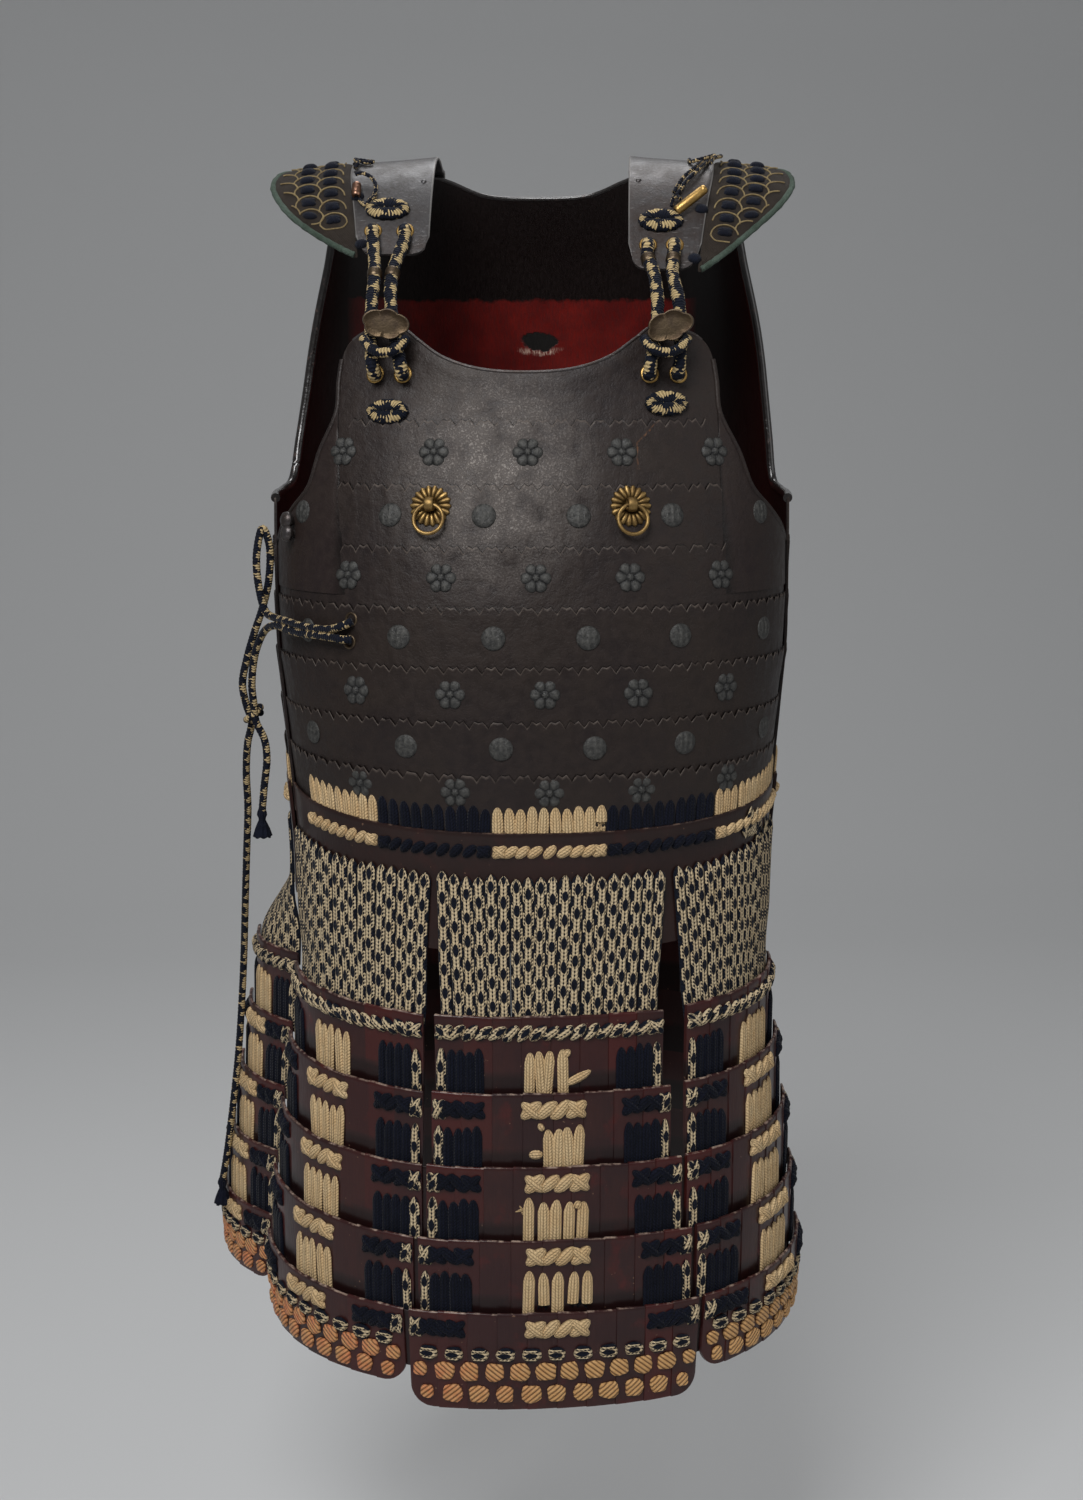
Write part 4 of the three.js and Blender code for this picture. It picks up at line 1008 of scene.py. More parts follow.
def cord_eye(place, axes, length, gap, thick):
    """A flat cord laid in an oval: a closed loop whose section is a flattened round."""
    turn = np.arange(16)[:, None] / 16 * 2 * PI
    around = np.arange(60)[None, :] / 60 * 2 * PI
    x, y = (length / 2 - thick) * np.cos(around), gap * np.sin(around)
    r = thick * (1 + 0.06 * np.cos(around * 14))
    nx, ny = np.cos(around), np.sin(around)
    local = np.stack(
        [x + r * np.cos(turn) * nx, y + r * np.cos(turn) * ny, 0.75 * r * np.sin(turn) + 1.2 + 0 * around], -1
    )
    along = np.linspace(0, 2.2 * length, 61)
    uv = np.stack(np.meshgrid(np.linspace(0, 1, 17), along, indexing="ij"), -1)
    return swept(local @ axes + place, uv, closed=True)


# ---------------------------------------------------------------- cuirass


def edge_path(edge, spacing):
    """Top edge of a plate from side to side as columns of (angle, height), even along the edge."""
    rows = np.array(edge, float)
    rows = np.vstack([rows[:0:-1] * (-1, 1), rows])
    path, _ = path_through(rows * (2.9, 1), spacing=spacing)
    return path[:, 0] / 2.9, path[:, 1]


NOCK = 12.6


def arrow_nocks(distance, depth):
    """Zigzag of an arrow-nocked edge: a deep vee, then two points with a shallow notch between."""
    return np.interp(distance / NOCK % 1, [0, 0.28, 0.5, 0.72, 1], [-depth, 0, -0.3 * depth, 0, -depth])


def nocked_rows(rows, base, middle):
    """Lames that overlap like shingles up a plate, each with an arrow-nocked top edge. rows holds
    (top, bottom, half angle); heights climb towards the sides on the lower rows. A painted shadow
    line follows each edge: a dark strip on the plate just above it and the dark back of its rim,
    with painted glints on its top."""
    made = []
    for top, bottom, half in rows:
        span = np.linspace(-half, half, 400)
        points = on_body(middle + span, top)
        far = np.concatenate([[0], np.cumsum(np.linalg.norm(np.diff(points, axis=0), axis=1))])
        shares = np.array([0, 0.14, 0.28, 0.5, 0.72, 0.86])
        steps = ((np.arange(far[-1] // NOCK + 1)[:, None] + shares) * NOCK).ravel()
        steps = steps[steps < far[-1]]
        angle = np.interp(steps, far, span)
        climb = side_rise(middle + angle) * np.clip((-top - 360) / 110, 0, 1)
        climb_low = side_rise(middle + angle) * np.clip((-bottom - 360) / 110, 0, 1)
        edge = top + climb + arrow_nocks(steps, 4.6) + chance.normal(0, 0.3, len(steps))
        lift = 1.3 + 0.4 * np.sin(steps / 37.0 + top)
        # Painted glints: a random pale tint on the top of each lame's face, and painted shadow on the back half of its
        # rim.
        glint = chance.uniform(0.0, 0.6, len(steps))
        made.append(
            wall(
                on_body,
                middle + angle,
                bottom + climb_low,
                edge,
                lambda a, s, lift=lift: base + 0.1 + lift * s**2,
                lambda a, s, lift=lift: base - 0.8 + lift * s**2,
                rows=4,
                rim=2,
                tint=lambda a, s, q, glint=glint: np.where(q > 0.5, -0.9, np.where(s > 0.99, glint, 0.0)),
            )
        )
        # Painted shadow: a dark strip laid on the plate just above each edge.
        shadow = wall(
            on_body, middle + angle, edge - 0.3, edge + 1.0, base + 0.35, base - 0.3, rows=2, rim=0,
            tint=lambda a, s, q: -0.9 + 0 * a * s * q,
        )
        made.append(shadow)
    return made


CHEST_ROWS = [
    (-177, -224, 39), (-219, -264, 42.7), (-259, -303, 42.7), (-298, -342, 84), (-337, -378, 84),
    (-373, -414, 84), (-409, -470, 84),
]
BACK_ROWS = [
    (-92, -140, 62), (-135, -182, 64), (-177, -224, 66), (-219, -264, 70), (-259, -303, 94), (-298, -342, 94),
    (-337, -378, 94), (-373, -414, 94), (-409, -470, 94),
]


def side_gusset(side):
    """The strip let in along an armhole: from an upright seam to the plate's edge, 0.5 mm proud."""
    z = np.linspace(-292, -166, 40)
    edge = monotone([-row[1] for row in FRONT_EDGE[8:]], [row[0] for row in FRONT_EDGE[8:]], -z)
    share = np.linspace(0, 1, 12)[:, None]
    seam = angle_at(np.full_like(z, 127.5), z)
    seam = np.minimum(seam, edge - 0.4)
    angle = seam + (edge - 0.5 - seam) * share
    round_off = np.sqrt(np.clip(1 - (2 * share - 1) ** 10, 0, 1))
    section = np.vstack([angle, angle[::-1]])
    out = np.vstack([0.2 + 0.75 * round_off + 0 * angle, -0.4 + 0 * angle])
    seam_dark = np.where(np.arange(24) % 23 == 0, -1.0, 0.0)[:, None] + 0 * section
    return swept(on_body(side * section, z + 0 * section, out), tint=seam_dark)


def body_plates(iron, gusset_iron, lacquer, rim_black, steel):
    """Breast and back: smooth iron shells with a lacquered inside, rolled rims and nocked lames."""
    angle, top = edge_path(FRONT_EDGE, 2.6)
    low = PLATE_BOTTOM + side_rise(angle)
    neck = np.exp(-(np.abs(angle) / 24) ** 6)
    flare = lambda a, s, q: neck * 3.2 * np.exp(-(((1 - s) * (top - low)) / 9) ** 1.3) + neck * 1.2 * smoothstep(
        -(1 - s) * (top - low), -34, -24
    )
    # Rims are tinted paler: partly rubbed iron, partly painted highlight.
    rim_wear_and_glint = lambda a, s, q: np.where((q > 0.01) & (q < 0.99), 0.8, 0.0)
    build(
        "breastplate",
        wall(on_body, angle, low, top, 0.0, -1.5, rows=38, rim=3, extra=flare, tint=rim_wear_and_glint),
        iron,
        "russet_iron",
        replaces=["front_plate"],
    )
    build(
        "breast_lining",
        wall(on_body, angle, low, top - 0.6, -1.45, -2.0, rows=20, rim=1, extra=flare),
        lacquer,
        "red_lacquer",
    )
    inner = np.abs(angle) < 40.5
    rim = on_body(angle[inner], top[inner], -0.7 + 3.2 * neck[inner] + 1.2 * neck[inner])
    build("neck_rim", tube(rim, 1.2, 12, (0, 0, 1)), steel, "grey_iron")
    turned_back = []
    for side in (1, -1):
        outer = (angle * side > 42.6) & (top > -270)
        turned_back.append(tube(on_body(angle[outer], top[outer], -0.4), 1.9, 12, (0, -1, 0.2)))
    build("armhole_flanges", turned_back, iron, "russet_iron")
    build("side_gussets", [side_gusset(1), side_gusset(-1)], gusset_iron, "russet_iron")
    build("chest_lames", nocked_rows(CHEST_ROWS, 0.0, 0), iron, "russet_iron")
    bead = [(0.05, 8.2), (3.2, 7.8), (5.3, 6.3), (6.0, 4.2), (5.2, 2.0), (3.4, 0.6), (2.8, -2), (0.05, -2)]
    beads = [turned_solid(bead, 28, *plate_frame(-63.0, z, 1.5)) for z in (-245.5, -254.0)]
    build("side_knob", beads, steel, "russet_iron")

    angle, top = edge_path(BACK_EDGE, 2.8)
    low = PLATE_BOTTOM + side_rise(angle)
    build(
        "backplate",
        wall(on_body, 180 + angle, low, top, BACK_STEP, BACK_STEP - 1.4, rows=28, rim=3, tint=rim_wear_and_glint),
        iron,
        "russet_iron",
        replaces=["back_plate"],
    )
    build(
        "back_lining",
        wall(on_body, 180 + angle, low, top - 0.8, BACK_STEP - 1.35, BACK_STEP - 2.0, rows=24, rim=1),
        lacquer,
        "red_lacquer",
    )
    size = np.where(np.abs(angle) > 60, 3.3, 1.5)
    size = np.convolve(np.pad(size, 4, mode="edge"), np.ones(9) / 9, "valid")
    rim = tube(on_body(180 + angle, top, BACK_STEP - 1), size[None, :], 14, (0.2, 0.3, 1))
    build("back_rim", rim, rim_black, "red_lacquer")
    build("back_lames", nocked_rows(BACK_ROWS, BACK_STEP, 180), iron, "russet_iron")


def waist_lames(lacquer):
    """The lacquered band round the waist, front and back, that covers the plates' foot."""
    for name, start, end, out in [("front", -80.5, 80.5, WAIST_OUT), ("back", 82, 278, WAIST_OUT + BACK_STEP)]:
        angle = even_angles(start, end, -490, count=120)
        angle[0], angle[-1] = start, end
        rise = side_rise(angle)
        band = wall(
            on_body, angle, WAIST_BOTTOM + rise, WAIST_TOP + rise, out, out - 2.2, rows=16, rim=4,
            # The rim is tinted pale: partly rubbed lacquer, partly painted highlight.
            tint=lambda a, s, q: np.where((q > 0.01) & (q < 0.99), 0.7, 0.0),
        )
        build(f"waist_band_{name}", band, lacquer, "red_lacquer", replaces=[f"waist_lame_{name}"])


# Laces of the waist in runs of one colour between two angles, towards the wearer's left.
FRONT_RUNS = [
    ("cream", -66, -38.3), ("navy", -38.3, -10.3), ("cream", -10.3, 10.3), ("navy", 10.3, 39.2), ("cream", 39.2, 80),
]
BACK_RUNS = [("cream", 83, 114), ("navy", 114, 161.5), ("cream", 161.5, 198.5), ("navy", 198.5, 246), ("cream", 246, 277)]


def waist_lacing():
    """Rows of upright laces over the waist band and of rope stitches below its edge, by colour. One
    cream lace before the wearer's left is torn through."""
    made = {"cream": [], "navy": [], "patterned": []}
    for runs, step, pitch in [(FRONT_RUNS, 0.0, 7.8), (BACK_RUNS, BACK_STEP, 9.1)]:
        ground = lambda a, z, step=step: step + 0.3
        band = lambda a, z, step=step: step + WAIST_OUT
        for number, (colour, start, end) in enumerate(runs):
            width = np.linalg.norm(np.diff(on_body(np.linspace(start, end, 60), -440), axis=0), axis=1).sum()
            count = int(round(width / pitch))
            run = even_angles(start, end, -440, count=count)
            rise = side_rise(run)
            foot = -454 + rise
            if runs is FRONT_RUNS and number == 2:
                foot[-1] += 12.5
                torn, low = run[-1], foot[-1]
                made[colour].append(tuft(on_body, torn, low + 1.0, -75, ground, 10, 5, 0.9, 20, 1.8))
                made[colour].append(tuft(on_body, torn, low - 8.0, 95, ground, 14, 7, 1.3, 25, 2.2))
            made[colour].append(
                laces(
                    on_body, run, -430.5 + rise + chance.normal(0, 0.6, count), foot,
                    width / count * chance.normal(1.0, 0.03, count), chance.normal(2.0, 0.12, count), ground,
                    tip=6.0, stations=8, lean=chance.normal(0, 0.035, count),
                )
            )
            gap = run[1] - run[0]
            ropes = max(2, round(count * 0.86))
            along = np.linspace(run[0] + gap * 0.15, run[-1] - gap * 0.15, ropes)
            slant = 40 + chance.normal(0, 4, ropes)
            made[colour].append(
                stitches(on_body, along, -461 + side_rise(along), 11.8, 6.6, 3.2, slant, band)
            )
            ends = along[[0, -1]]
            made[colour].append(stitches(on_body, ends, -461 + side_rise(ends), 11, 5.8, 3.7, -40, band))
    return made


# ---------------------------------------------------------------- skirt


LAMELLA = 20.0


def panel_columns(panel, tier):
    """Angles across a tier where its lamellae begin, rise and end, with close columns at the ends
    of the last tier for its round corners. Also the share of each across its lamella, its distance
    from the edge, the tier's width and the number of its lamella."""
    far, span = panel_run(panel, tier)
    count = int(round(far[-1] / LAMELLA))
    pitch = far[-1] / count
    share = np.array([0.0, 0.03, 0.3, 0.6, 0.9, 0.985])
    at = ((np.arange(count)[:, None] + share) * pitch).ravel()
    at = np.append(at, far[-1])
    if TIER_BOTTOMS[tier] is None:
        close = np.array([0.3, 1.2, 2.7, 4.8, 7.6, 11, 15.9])
        at = np.unique(np.round(np.concatenate([at, close, far[-1] - close]), 3))
    number = np.minimum((at / pitch + 1e-4).astype(int), count - 1)
    return np.interp(at, far, span), at / pitch - number, at, far[-1], number


def panel_run(panel, tier):
    """Distances across a tier at its top edge, and the angles they belong to."""
    span = np.linspace(panel["start"][tier], panel["end"][tier], 300)
    steps = np.linalg.norm(np.diff(on_body(span, TIER_TOPS[tier]), axis=0), axis=1)
    return np.concatenate([[0], np.cumsum(steps)]), span


def corner_cut(at, width, radius):
    """How far a round corner lifts the hem at a distance across the panel."""
    left = np.minimum(at, width - at)
    return np.where(left >= radius, 0, radius - np.sqrt(np.maximum(radius**2 - (radius - np.minimum(left, radius)) ** 2, 0)))


def lame_out(tier, hem):
    """Offset of a lame's face at a height: it leans out towards its top edge."""
    top = TIER_TOPS[tier]
    bottom = TIER_BOTTOMS[tier] or hem

    def out(angle, z):
        share = np.clip((z - side_lift(angle) - bottom) / (top - bottom), 0, 1)
        return LAME_OUT_BOTTOM + (LAME_OUT_TOP - LAME_OUT_BOTTOM) * share

    return out


def lames(name, panel, lacquer):
    """The five lacquered rows of a panel. Each lamella leans a little proud of the next, differs in
    its red, and its top edge drops to the next in a small step."""
    for tier, top in enumerate(TIER_TOPS):
        last = TIER_BOTTOMS[tier] is None
        angle, share, at, width, number = panel_columns(panel, tier)
        lift = side_lift(angle)
        low = panel["hem"] + corner_cut(at, width, LAME_CORNER) if last else TIER_BOTTOMS[tier] + 0 * at
        step = 0.8 * (0.5 - share)
        crown = 0.9 * (0.5 - share) + 0.25 * np.sin(at / 9 + tier)
        from_side = np.minimum(number, number.max() - number)
        red = chance.uniform(0, 0.8, 40)[number] * np.where(from_side < 2, 1.0, 0.35)
        # Painted shade: the lower part of each row but the last is darkened, just above the row that hangs before it.
        shaded = 0.0 if last else 0.36
        lacquered = lambda a, s: LAME_OUT_BOTTOM + (LAME_OUT_TOP - LAME_OUT_BOTTOM) * s
        part = wall(
            on_panel(panel),
            angle,
            low + lift,
            top + lift + crown,
            lacquered,
            lambda a, s: lacquered(a, s) - LAME_WALL,
            rows=14,
            rim=4,
            extra=lambda a, s, q: step * (1 - q),
            # The rim's front is tinted pale: partly rubbed lacquer, partly painted highlight.
            tint=lambda a, s, q: np.where((q > 0.01) & (q < 0.7), 1.0, 0.0),
            tone=lambda a, s, q: np.where(s < shaded, -1.0, red + 0 * s),
        )
        parts = [part, *panel_laps(panel, tier)] if name == "front_centre" and tier > 1 else [part]
        build(f"lame_{name}_tier_{tier + 1}", parts, lacquer, "red_lacquer", replaces=[f"lame_{name}_{tier + 1}"])


def panel_laps(panel, tier):
    """Tongues that run on behind the neighbours from either edge of a lame, a thin wall each."""
    top, low = TIER_TOPS[tier], TIER_BOTTOMS[tier] or panel["hem"] + 26
    laps = []
    for edge, out in ((panel["start"][tier], -1), (panel["end"][tier], 1)):
        angle = np.sort(edge + out * np.linspace(-0.6, 3.0, 7))
        lift = side_lift(angle)
        face = lambda a, s: LAME_OUT_BOTTOM + (LAME_OUT_TOP - LAME_OUT_BOTTOM) * s - 2.4
        laps.append(
            wall(
                on_body, angle, low + lift, top - 1.5 + lift, face, lambda a, s: face(a, s) - 0.8, rows=6, rim=2,
                # Painted shade: the tongues are darkened all over, as they lie behind the neighbours.
                tone=lambda a, s, q: -1.0 + 0 * a * s,
            )
        )
    return laps


def curtain(name, panel, patterned):
    """The braids a panel hangs by, side by side from the waist band down behind its first lame."""
    surface = on_panel(panel)
    waist_out = WAIST_OUT + (BACK_STEP if panel["start"][0] > 90 else 0)
    over = waist_out + CURTAIN_CLEARANCE
    (foot_start, top_start), (foot_end, top_end) = panel["lace_start"], panel["lace_end"]
    width = np.linalg.norm(np.diff(on_body(np.linspace(top_start, top_end, 60), -500), axis=0), axis=1).sum()
    count = int(round(width / 7.9))
    pitch = width / count
    centre = even_angles(top_start, top_end, -500, count=count)
    foot = foot_start + (centre - top_start) / (top_end - top_start) * (foot_end - foot_start)
    top = CURTAIN_TOP + side_rise(centre) + 1.5 + chance.normal(0, 0.8, count)
    bottom = TIER_TOPS[0] - CURTAIN_TUCK + side_lift(centre)

    def base(angle, z):
        top_z = CURTAIN_TOP + side_rise(angle)
        low_z = TIER_TOPS[0] - CURTAIN_TUCK + side_lift(angle)
        return monotone([0, 0.1, 0.18, 0.5, 1], [-0.8, -0.2, 0.4, over, over], (z - low_z) / (top_z - low_z))

    part = laces(
        surface, centre, top, bottom, pitch * chance.normal(1.07, 0.02, count), chance.normal(2.7, 0.15, count), base,
        tip=5.0, stations=22, lean=chance.normal(0, 0.004, count), sway=chance.normal(0, 0.2, count), foot=foot,
    )
    parts = [part]
    if name == "front_L":
        ends = ((54.1, -463, 60), (67.0, -471, 120), (68.4, -484, 200))
        parts += [tuft(surface, place, z, aim, base, 14, 20, 3.8, 35, 6.0) for place, z, aim in ends]
    sheet = build(f"braid_curtain_{name}", parts, patterned, "navy_cream_braid", replaces=[f"curtain_{name}"])


# Places of the cream laces from the middle of the front panel, tier by tier, with how far each stops
# short of the lame below; all in millimetres.
FRONT_CREAM = [
    [(-13.9, 0), (-7.7, 0), (-0.9, 0), (7.4, 0)],
    [(-3.1, 0), (3.4, 0), (8.9, 0), (17.4, 0)],
    [(-18, 0), (-9, 0), (0, 0), (8.6, 0), (17.4, 0)],
    [(-18.9, 0), (-9.9, 12), (0, 0), (10.8, 12.5), (19.4, 12)],
]


def skirt_groups(width, tier):
    """Distances of the laces across a panel from its edge, by colour: a patterned edge lace, navy
    laces inside it on both sides, further apart on the lower tiers, cream ones in the middle."""
    wide = width > 130
    navy = 11.0 + (6.0 + 0.35 * tier) * np.arange(4 if wide else 3)
    cream = width / 2 + 7.7 * (np.arange(5 if wide else 4) - (2 if wide else 1.5))
    return {
        "patterned": np.array([4.7, width - 4.7]),
        "navy": np.concatenate([navy, width - navy]),
        "cream": cream,
    }


def rope(surface, places, z, base, mirror, width=8.6, tall=17.0):
    """A run of slanted stitches that ends in a cross-knot at either side."""
    slant = 42 + chance.normal(0, 4, len(places))
    run = stitches(surface, places, z, tall, width, 3.6, mirror * slant, base)
    ends = np.array([places[0], places[-1]])
    level = np.asarray(z)[[0, -1]]
    return [run, stitches(surface, ends, level, tall - 0.5, width * 0.85, 4.3, -mirror * 42, base)]


def torn_laces(surface, tier, middle, top, made):
    """What is left of the broken cream laces on the front panel: stubs, ends and splinters."""
    base = lame_out(tier, PANELS["front_centre"]["hem"])
    rate = float(degrees_per_mm(np.array(middle), np.array(float(top))))
    at = lambda x: middle + x * rate
    cream = made["cream"]
    if tier == 0:
        cream.append(stitches(surface, at(12.6), top - 25.0, 6.5, 5.0, 2.6, 50, base))
        cream.append(stitches(surface, at(24.0), top - 42.5, 20.0, 6.0, 2.4, 28, base))
    if tier == 1:
        cream.append(stitches(surface, at(-9.0), top - 22.5, 6.0, 4.4, 2.6, -60, base))
        cream.append(stitches(surface, at(-13.6), top - 42.0, 9.5, 6.5, 2.4, 0, base))
    if tier == 2:
        cream.append(tuft(surface, at(-20.5), top - 30.0, 175, base, 12, 7, 1.2, 22, 2.5))
        cream.append(stitches(surface, at(16.4), top - 26.5, 6.0, 5.6, 3.0, 60, base))
    if tier == 3:
        for x in (-9.9, 10.8, 19.4):
            made["navy"].append(tuft(surface, at(x), top - 43.0, -90, base, 12, 6, 1.0, 25, 2.4))


def skirt_lacing(name, panel, made, hemp, knots):
    """Upright laces from each lame down behind the next, rope stitches under each top edge, and
    knots and padded cross-stitches along the last."""
    surface = on_panel(panel)
    for tier, top in enumerate(TIER_TOPS):
        base = lame_out(tier, panel["hem"])
        ground = lambda a, z, base=base: base(a, z) + 0.1
        far, span = panel_run(panel, tier)
        angle_of = lambda at: np.interp(at, far, span)
        groups = skirt_groups(far[-1], tier)
        short = {}
        if name == "front_centre" and tier < 4:
            places, ends = np.array(FRONT_CREAM[tier]).T
            groups["cream"], short["cream"] = far[-1] / 2 + places, ends
            torn_laces(surface, tier, float(angle_of(far[-1] / 2)), top, made)
        if tier < 4:
            for colour, at in groups.items():
                count = len(at)
                centre = angle_of(at + chance.normal(0, 0.25, count))
                lift = side_lift(centre)
                start = top - 22.5 + lift + chance.normal(0, 1.0, count)
                wide = {"patterned": 6.4, "navy": 7.2 + 0.35 * tier, "cream": 7.5}[colour]
                made[colour].append(
                    laces(
                        surface, centre, start, TIER_TOPS[tier + 1] - 7 + lift + short.get(colour, 0.0),
                        wide * chance.normal(1, 0.05, count), chance.normal(2.3, 0.15, count), ground,
                        tip=6.0, stations=8, lean=chance.normal(0, 0.03 if colour == "cream" else 0.012, count),
                    )
                )
        z = top - 10.5
        if tier == 0:
            count = int(round((far[-1] - 12) / 8.3))
            centre = angle_of(np.linspace(6, far[-1] - 6, count))
            level = z + side_lift(centre)
            made["patterned"] += rope(surface, centre, level, ground, 1 if panel["end"][0] > 0 else -1, 7.4, 14.5)
            continue
        edges = angle_of(np.array([4.9, far[-1] - 4.9]))
        made["patterned"] += crossed(surface, edges, z - 0.5 + side_lift(edges), 15.5, 7.4, 2.6, ground, slant=64)
        middle = far[-1] / 2
        bunch = {
            "navy_start": groups["navy"][: len(groups["navy"]) // 2],
            "navy_end": groups["navy"][len(groups["navy"]) // 2 :],
            "cream": middle + np.linspace(-16.5, 16.5, 5) * (1.0 if far[-1] > 130 else 0.8),
        }
        for colour, at in bunch.items():
            low, high = at.min() + 1.5, at.max() - 1.5
            pitch, wide = (8.6, 8.6) if colour == "cream" else (7.3, 7.6)
            count = int(round((high - low) / pitch)) + 1
            centre = angle_of(np.linspace(low, high, count))
            mirror = -1 if colour == "navy_start" else 1
            made[colour.split("_")[0]] += rope(surface, centre, z + side_lift(centre), ground, mirror, wide)
        if tier == 4:
            tall = top - panel["hem"]
            count = int(round((far[-1] - 27) / 17.4)) + 1
            centre = angle_of(np.linspace(13.5, far[-1] - 13.5, count))
            z = top - 0.415 * tall + side_lift(centre)
            wide, high = chance.normal(12.3, 0.4, count), chance.normal(10, 0.4, count)
            knots.append(pads(surface, centre, z, wide, high, 2.6, ground, corners=0.85, turn=True))
            for share, inset, number, lean in [(0.6, 7.5, count + 1, 1), (0.835, 12, count, -1)]:
                centre = angle_of(np.linspace(inset, far[-1] - inset, number))
                fit = np.where((np.arange(number) == 0) | (np.arange(number) == number - 1), 0.7, 1.0)
                hemp.append(
                    pads(
                        surface, centre, top - share * tall + side_lift(centre), 13.2 * fit * chance.normal(1, 0.04, number),
                        12.6 * (0.3 + 0.7 * fit) * chance.normal(1, 0.04, number), 2.1, ground, lean=lean,
                    )
                )


# ---------------------------------------------------------------- shoulders


def strap_under(side, across, along):
    """The strap's underside, across from its inner edge and along from its front end: rows of the
    table joined smoothly, then down over the back plate's top edge."""
    across, along = np.broadcast_arrays(np.asarray(across, float), np.asarray(along, float))
    mix = across[..., None]
    rows = []
    for inner_y, inner_z, outer_x, outer_y, outer_z in STRAP_ROWS:
        inner, outer = np.array([STRAP_INNER_X, inner_y, inner_z]), np.array([outer_x, outer_y, outer_z])
        rows.append(worn((inner + (outer - inner) * mix) * (side, 1, 1)))
    angle = 24 + 27 * across
    edge = monotone([row[0] for row in BACK_EDGE], [row[1] for row in BACK_EDGE], angle)
    rows += [on_body(180 - side * angle, edge + over, BACK_STEP + 1) for over in (2, -20)]
    rows[0] = rows[0] + (rows[0] - rows[1]) * STRAP_REACH[side]
    rows = np.stack(rows)
    from_end = np.minimum(across, 1 - across) * STRAP_WIDTH
    cut = STRAP_CORNER - np.sqrt(np.maximum(STRAP_CORNER**2 - (STRAP_CORNER - np.minimum(from_end, STRAP_CORNER)) ** 2, 0))
    cut = cut / STRAP_LENGTH
    place = np.clip((cut + (1 - cut) * along) * (len(rows) - 1), 0, len(rows) - 1 - 1e-6)
    i = place.astype(int)
    t = (place - i)[..., None]
    pick = lambda k: np.take_along_axis(rows, np.clip(k, 0, len(rows) - 1)[None, ..., None], 0)[0]
    before, here, after, beyond = pick(i - 1), pick(i), pick(i + 1), pick(i + 2)
    return here + 0.5 * t * (after - before + t * (2 * before - 5 * here + 4 * after - beyond + t * (3 * (here - after) + beyond - before)))


def on_strap(side):
    """The strap's skin at a height over its underside, square to it."""

    def surface(across, along, height):
        across, along, height = np.broadcast_arrays(*(np.asarray(v, float) for v in (across, along, height)))
        reach = 0.01
        inside = np.clip(across, 0.012, 0.988)
        sideways = strap_under(side, inside + reach, along) - strap_under(side, inside - reach, along)
        lengthwise = strap_under(side, inside, np.minimum(along + reach, 1)) - strap_under(side, inside, np.maximum(along - reach, 0))
        normal = np.cross(sideways, lengthwise) * side
        normal /= np.linalg.norm(normal, axis=-1)[..., None]
        return strap_under(side, across, along) + normal * height[..., None]

    return surface


def strap_frame(surface, side, across, along, height):
    """Place and axes on the strap: across, up its length, outward."""
    place = surface(across, along, height)
    right = surface(across + 0.02 * side, along, height) - surface(across - 0.02 * side, along, height)
    upward = surface(across, along + 0.01, height) - surface(across, along - 0.01, height)
    outward = np.cross(right, upward)
    outward /= np.linalg.norm(outward)
    right /= np.linalg.norm(right)
    return place, np.stack([right, np.cross(outward, right), outward])


def shoulder_strap(letter, side, steel, patterned, brass):
    """The satin iron strap with its rivets, the grommets in it and in the breast below, and the cord eye laid on it."""
    surface = on_strap(side)
    share = np.linspace(0, 1, 26)
    bend = np.linspace(0, PI, 6)[1:-1]
    across = np.concatenate([share, 1 + 0 * bend, share[::-1], 0 * bend])
    height = np.concatenate([np.full(26, STRAP_WALL), STRAP_WALL / 2 * (1 + np.cos(bend)), np.zeros(26), STRAP_WALL / 2 * (1 - np.cos(bend))])
    side_step = np.concatenate([np.zeros(26), np.sin(bend), np.zeros(26), -np.sin(bend)]) * STRAP_WALL / 2 / STRAP_WIDTH
    along = np.concatenate([np.linspace(0, 0.12, 12)[:-1], np.linspace(0.12, 1, 50)])
    points = surface((across + side_step)[:, None], along[None, :], height[:, None])
    edge = 0.75 * (np.abs(side_step) > 0).astype(float)[:, None] + 0.0 * along[None, :]
    build(f"strap_{letter}", swept(points, tint=edge), steel, "grey_iron", replaces=[f"shoulder_strap_{letter}"])

    fittings = []
    for name, x in (("inner", 82), ("outer", 101)):
        place, axes = strap_frame(surface, side, *STRANDS[side][name], STRAP_WALL + 0.2)
        fittings.append(grommet(place, axes, 5.0, 1.2))
        place, axes = plate_frame(float(angle_at(side * x, -147)), -147.0, 0.6)
        fittings.append(grommet(place, axes, 5.1, 1.3))
    build(f"grommets_{letter}", fittings, brass, "brass")
    rivets = []
    for share, along in [(0.1, 0.25), (0.9, 0.03), (0.12, 0.62)]:
        place, axes = strap_frame(surface, side, share, along, STRAP_WALL - 0.1)
        rivets.append(turned_solid([(0.05, 1.0), (1.1, 0.9), (1.9, 0.4), (2.1, 0.0), (0.05, -0.4)], 18, place, axes))
    build(f"strap_rivets_{letter}", rivets, steel, "grey_iron")
    place, axes = strap_frame(surface, side, *((0.42, 0.116) if side > 0 else (0.56, 0.15)), STRAP_WALL)
    build(f"strap_cord_eye_{letter}", cord_eye(place, axes, 31, 4.2, 5.0), patterned, "navy_cream_braid")


def wing_rows(side):
    """Places of the strap's outer edge, which a wing is sewn to, from front to back."""
    rows = np.array(STRAP_ROWS, float)[:, 2:]
    rows[0] += (rows[0] - rows[1]) * STRAP_REACH[side]
    return rows


def wing_reach(along):
    """How far a wing stands out from the strap: widest a little before its middle."""
    return 2 + 54 * np.maximum(np.sin(PI * np.clip(along, 0, 1) ** 0.8), 0) ** 1.2


